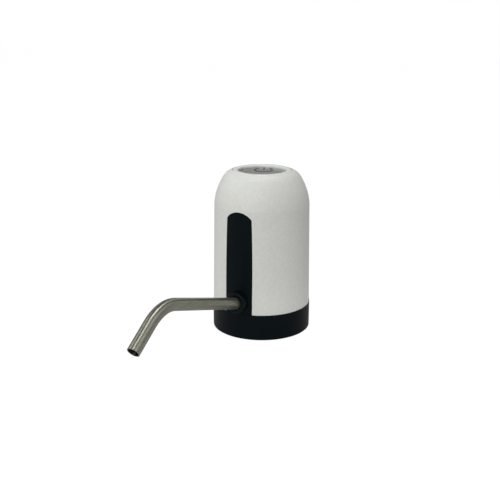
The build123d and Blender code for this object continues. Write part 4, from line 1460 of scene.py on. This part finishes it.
    def camera(self) -> None:
        """Adds the camera and makes it the scene's own."""
        data = bpy.data.cameras.new("camera")
        data.sensor_width = self.sensor
        data.lens = self.focal_px / self.image_px * self.sensor
        data.clip_start = self.clip_start
        camera = bpy.data.objects.new("camera", data)
        bpy.context.scene.collection.objects.link(camera)
        azimuth = math.radians(self.camera_azimuth)
        camera.location = (
            self.camera_reach * math.sin(azimuth),
            -self.camera_reach * math.cos(azimuth),
            self.camera_height,
        )
        level = Euler((math.radians(90 - self.camera_tilt), 0.0, azimuth + math.radians(self.camera_pan)))
        roll = Matrix.Rotation(math.radians(self.camera_roll), 3, "Z")
        camera.rotation_euler = (level.to_matrix() @ roll).to_euler()
        bpy.context.scene.camera = camera


# ---- The pump


def pump_finishes() -> dict[str, Material]:
    """Builds every finish of the pump.

    Returns:
        The materials by name.
    """
    boxes = {name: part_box(name) for name in ("motor_leads", "battery_leads", "charge_leads")}
    middles = {name: (low.x + high.x) / 2 for name, (low, high) in boxes.items()}
    red, black = (0.42, 0.03, 0.02), (0.02, 0.02, 0.02)
    ink = (0.62, 0.90, 1.0)
    finishes = (
        Moulded("white_shell", (0.775, 0.785, 0.738), 0.45, grain=0.1, tone=0.95, rub=0.05, mottle=0.81),
        Moulded("white_gloss", (0.78, 0.79, 0.75), 0.22, grain=0.03, tone=0.97, coat=0.25),
        Moulded("chassis_white", (0.70, 0.70, 0.67), 0.5),
        Moulded("black_gloss", (0.0025, 0.0042, 0.0058), 0.30, 0.085, grain=0.05, tone=0.8, sheen_tint=ink),
        Moulded("black_satin", (0.0028, 0.0044, 0.0058), 0.42, 0.09, grain=0.14, tone=0.8, sheen_tint=ink),
        Moulded("collar_black", (0.0025, 0.0042, 0.0055), 0.34, 0.15, grain=0.06, tone=0.8, sheen_tint=ink),
        Moulded("black_moulded", (0.020, 0.021, 0.022), 0.48, grain=0.15),
        Moulded("chip_black", (0.016, 0.016, 0.017), 0.6, grain=0.3),
        Moulded("ivory", (0.72, 0.70, 0.62), 0.35),
        Moulded("milky", (0.78, 0.79, 0.77), 0.4, scatter=0.25),
        Moulded("rubber", (0.016, 0.016, 0.016), 0.72, specular=0.3, grain=0.25, rub=0.04),
        Moulded("dome_rubber", (0.55, 0.54, 0.52), 0.6, grain=0.1, scatter=0.1),
        Moulded("foam", (0.05, 0.05, 0.052), 0.95, specular=0.1, grain_scale=900.0, grain=0.8),
        Moulded("wrap", (0.03, 0.14, 0.34), 0.28, grain=0.08, coat=0.3),
        Moulded("mark_print", (0.075, 0.036, 0.033), 0.35, grain=0.03, drift=0.6, tone=0.7),
        PolishedTube("spout_steel", (0.345, 0.345, 0.285), 0.29),
        DrawnSteel("steel", (0.56, 0.56, 0.55), 0.3, lines=(900.0, 900.0, 4000.0)),
        DrawnSteel("can_steel", (0.55, 0.55, 0.54), 0.34, lines=(120.0, 120.0, 5000.0)),
        DrawnSteel("nickel", (0.62, 0.60, 0.55), 0.25, lines=(900.0, 3000.0, 900.0)),
        DrawnSteel("iron", (0.20, 0.20, 0.205), 0.5, lines=(200.0, 200.0, 9000.0), line_contrast=0.6),
        DrawnSteel("copper", (0.72, 0.33, 0.18), 0.32, lines=(300.0, 300.0, 6500.0), line_contrast=0.55),
        DrawnSteel("gold", (0.85, 0.62, 0.25), 0.2, lines=(900.0, 900.0, 900.0)),
        SmokedMirror("button_mirror", (0.31, 0.33, 0.32), 0.16),
        Clear("clear", (0.95, 0.96, 0.92), 0.08, transmission=0.9),
        Clear("silicone", (0.86, 0.87, 0.84), 0.35, transmission=0.6),
        BoardLacquer("board", (0.012, 0.13, 0.05), 0.3, track=(0.05, 0.24, 0.10)),
        TwoTone("motor_lead", black, 0.42, red, middles["motor_leads"]),
        TwoTone("battery_lead", red, 0.42, black, middles["battery_leads"]),
        TwoTone("charge_lead", black, 0.42, red, middles["charge_leads"]),
    )
    return {finish.name: finish.make() for finish in finishes}


def clear_start_scene() -> None:
    """Removes what a new file holds besides the construction."""
    for thing in list(bpy.data.objects):
        if "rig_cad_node" not in thing and not thing.name.startswith("body:"):
            bpy.data.objects.remove(thing)


def main() -> None:
    """Dresses the construction, adds the fine pieces and sets up the studio."""
    logging.basicConfig(level=logging.INFO, format="%(name)s: %(message)s")
    clear_start_scene()
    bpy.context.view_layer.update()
    finishes = pump_finishes()
    for assembly in (Casing, TopButton, Electronics, PumpAndMotor, WaterWay):
        assembly(finishes).build()
        LOG.info("%s is done", assembly.__name__)
    Studio().build()


if __name__ == "__main__":
    main()
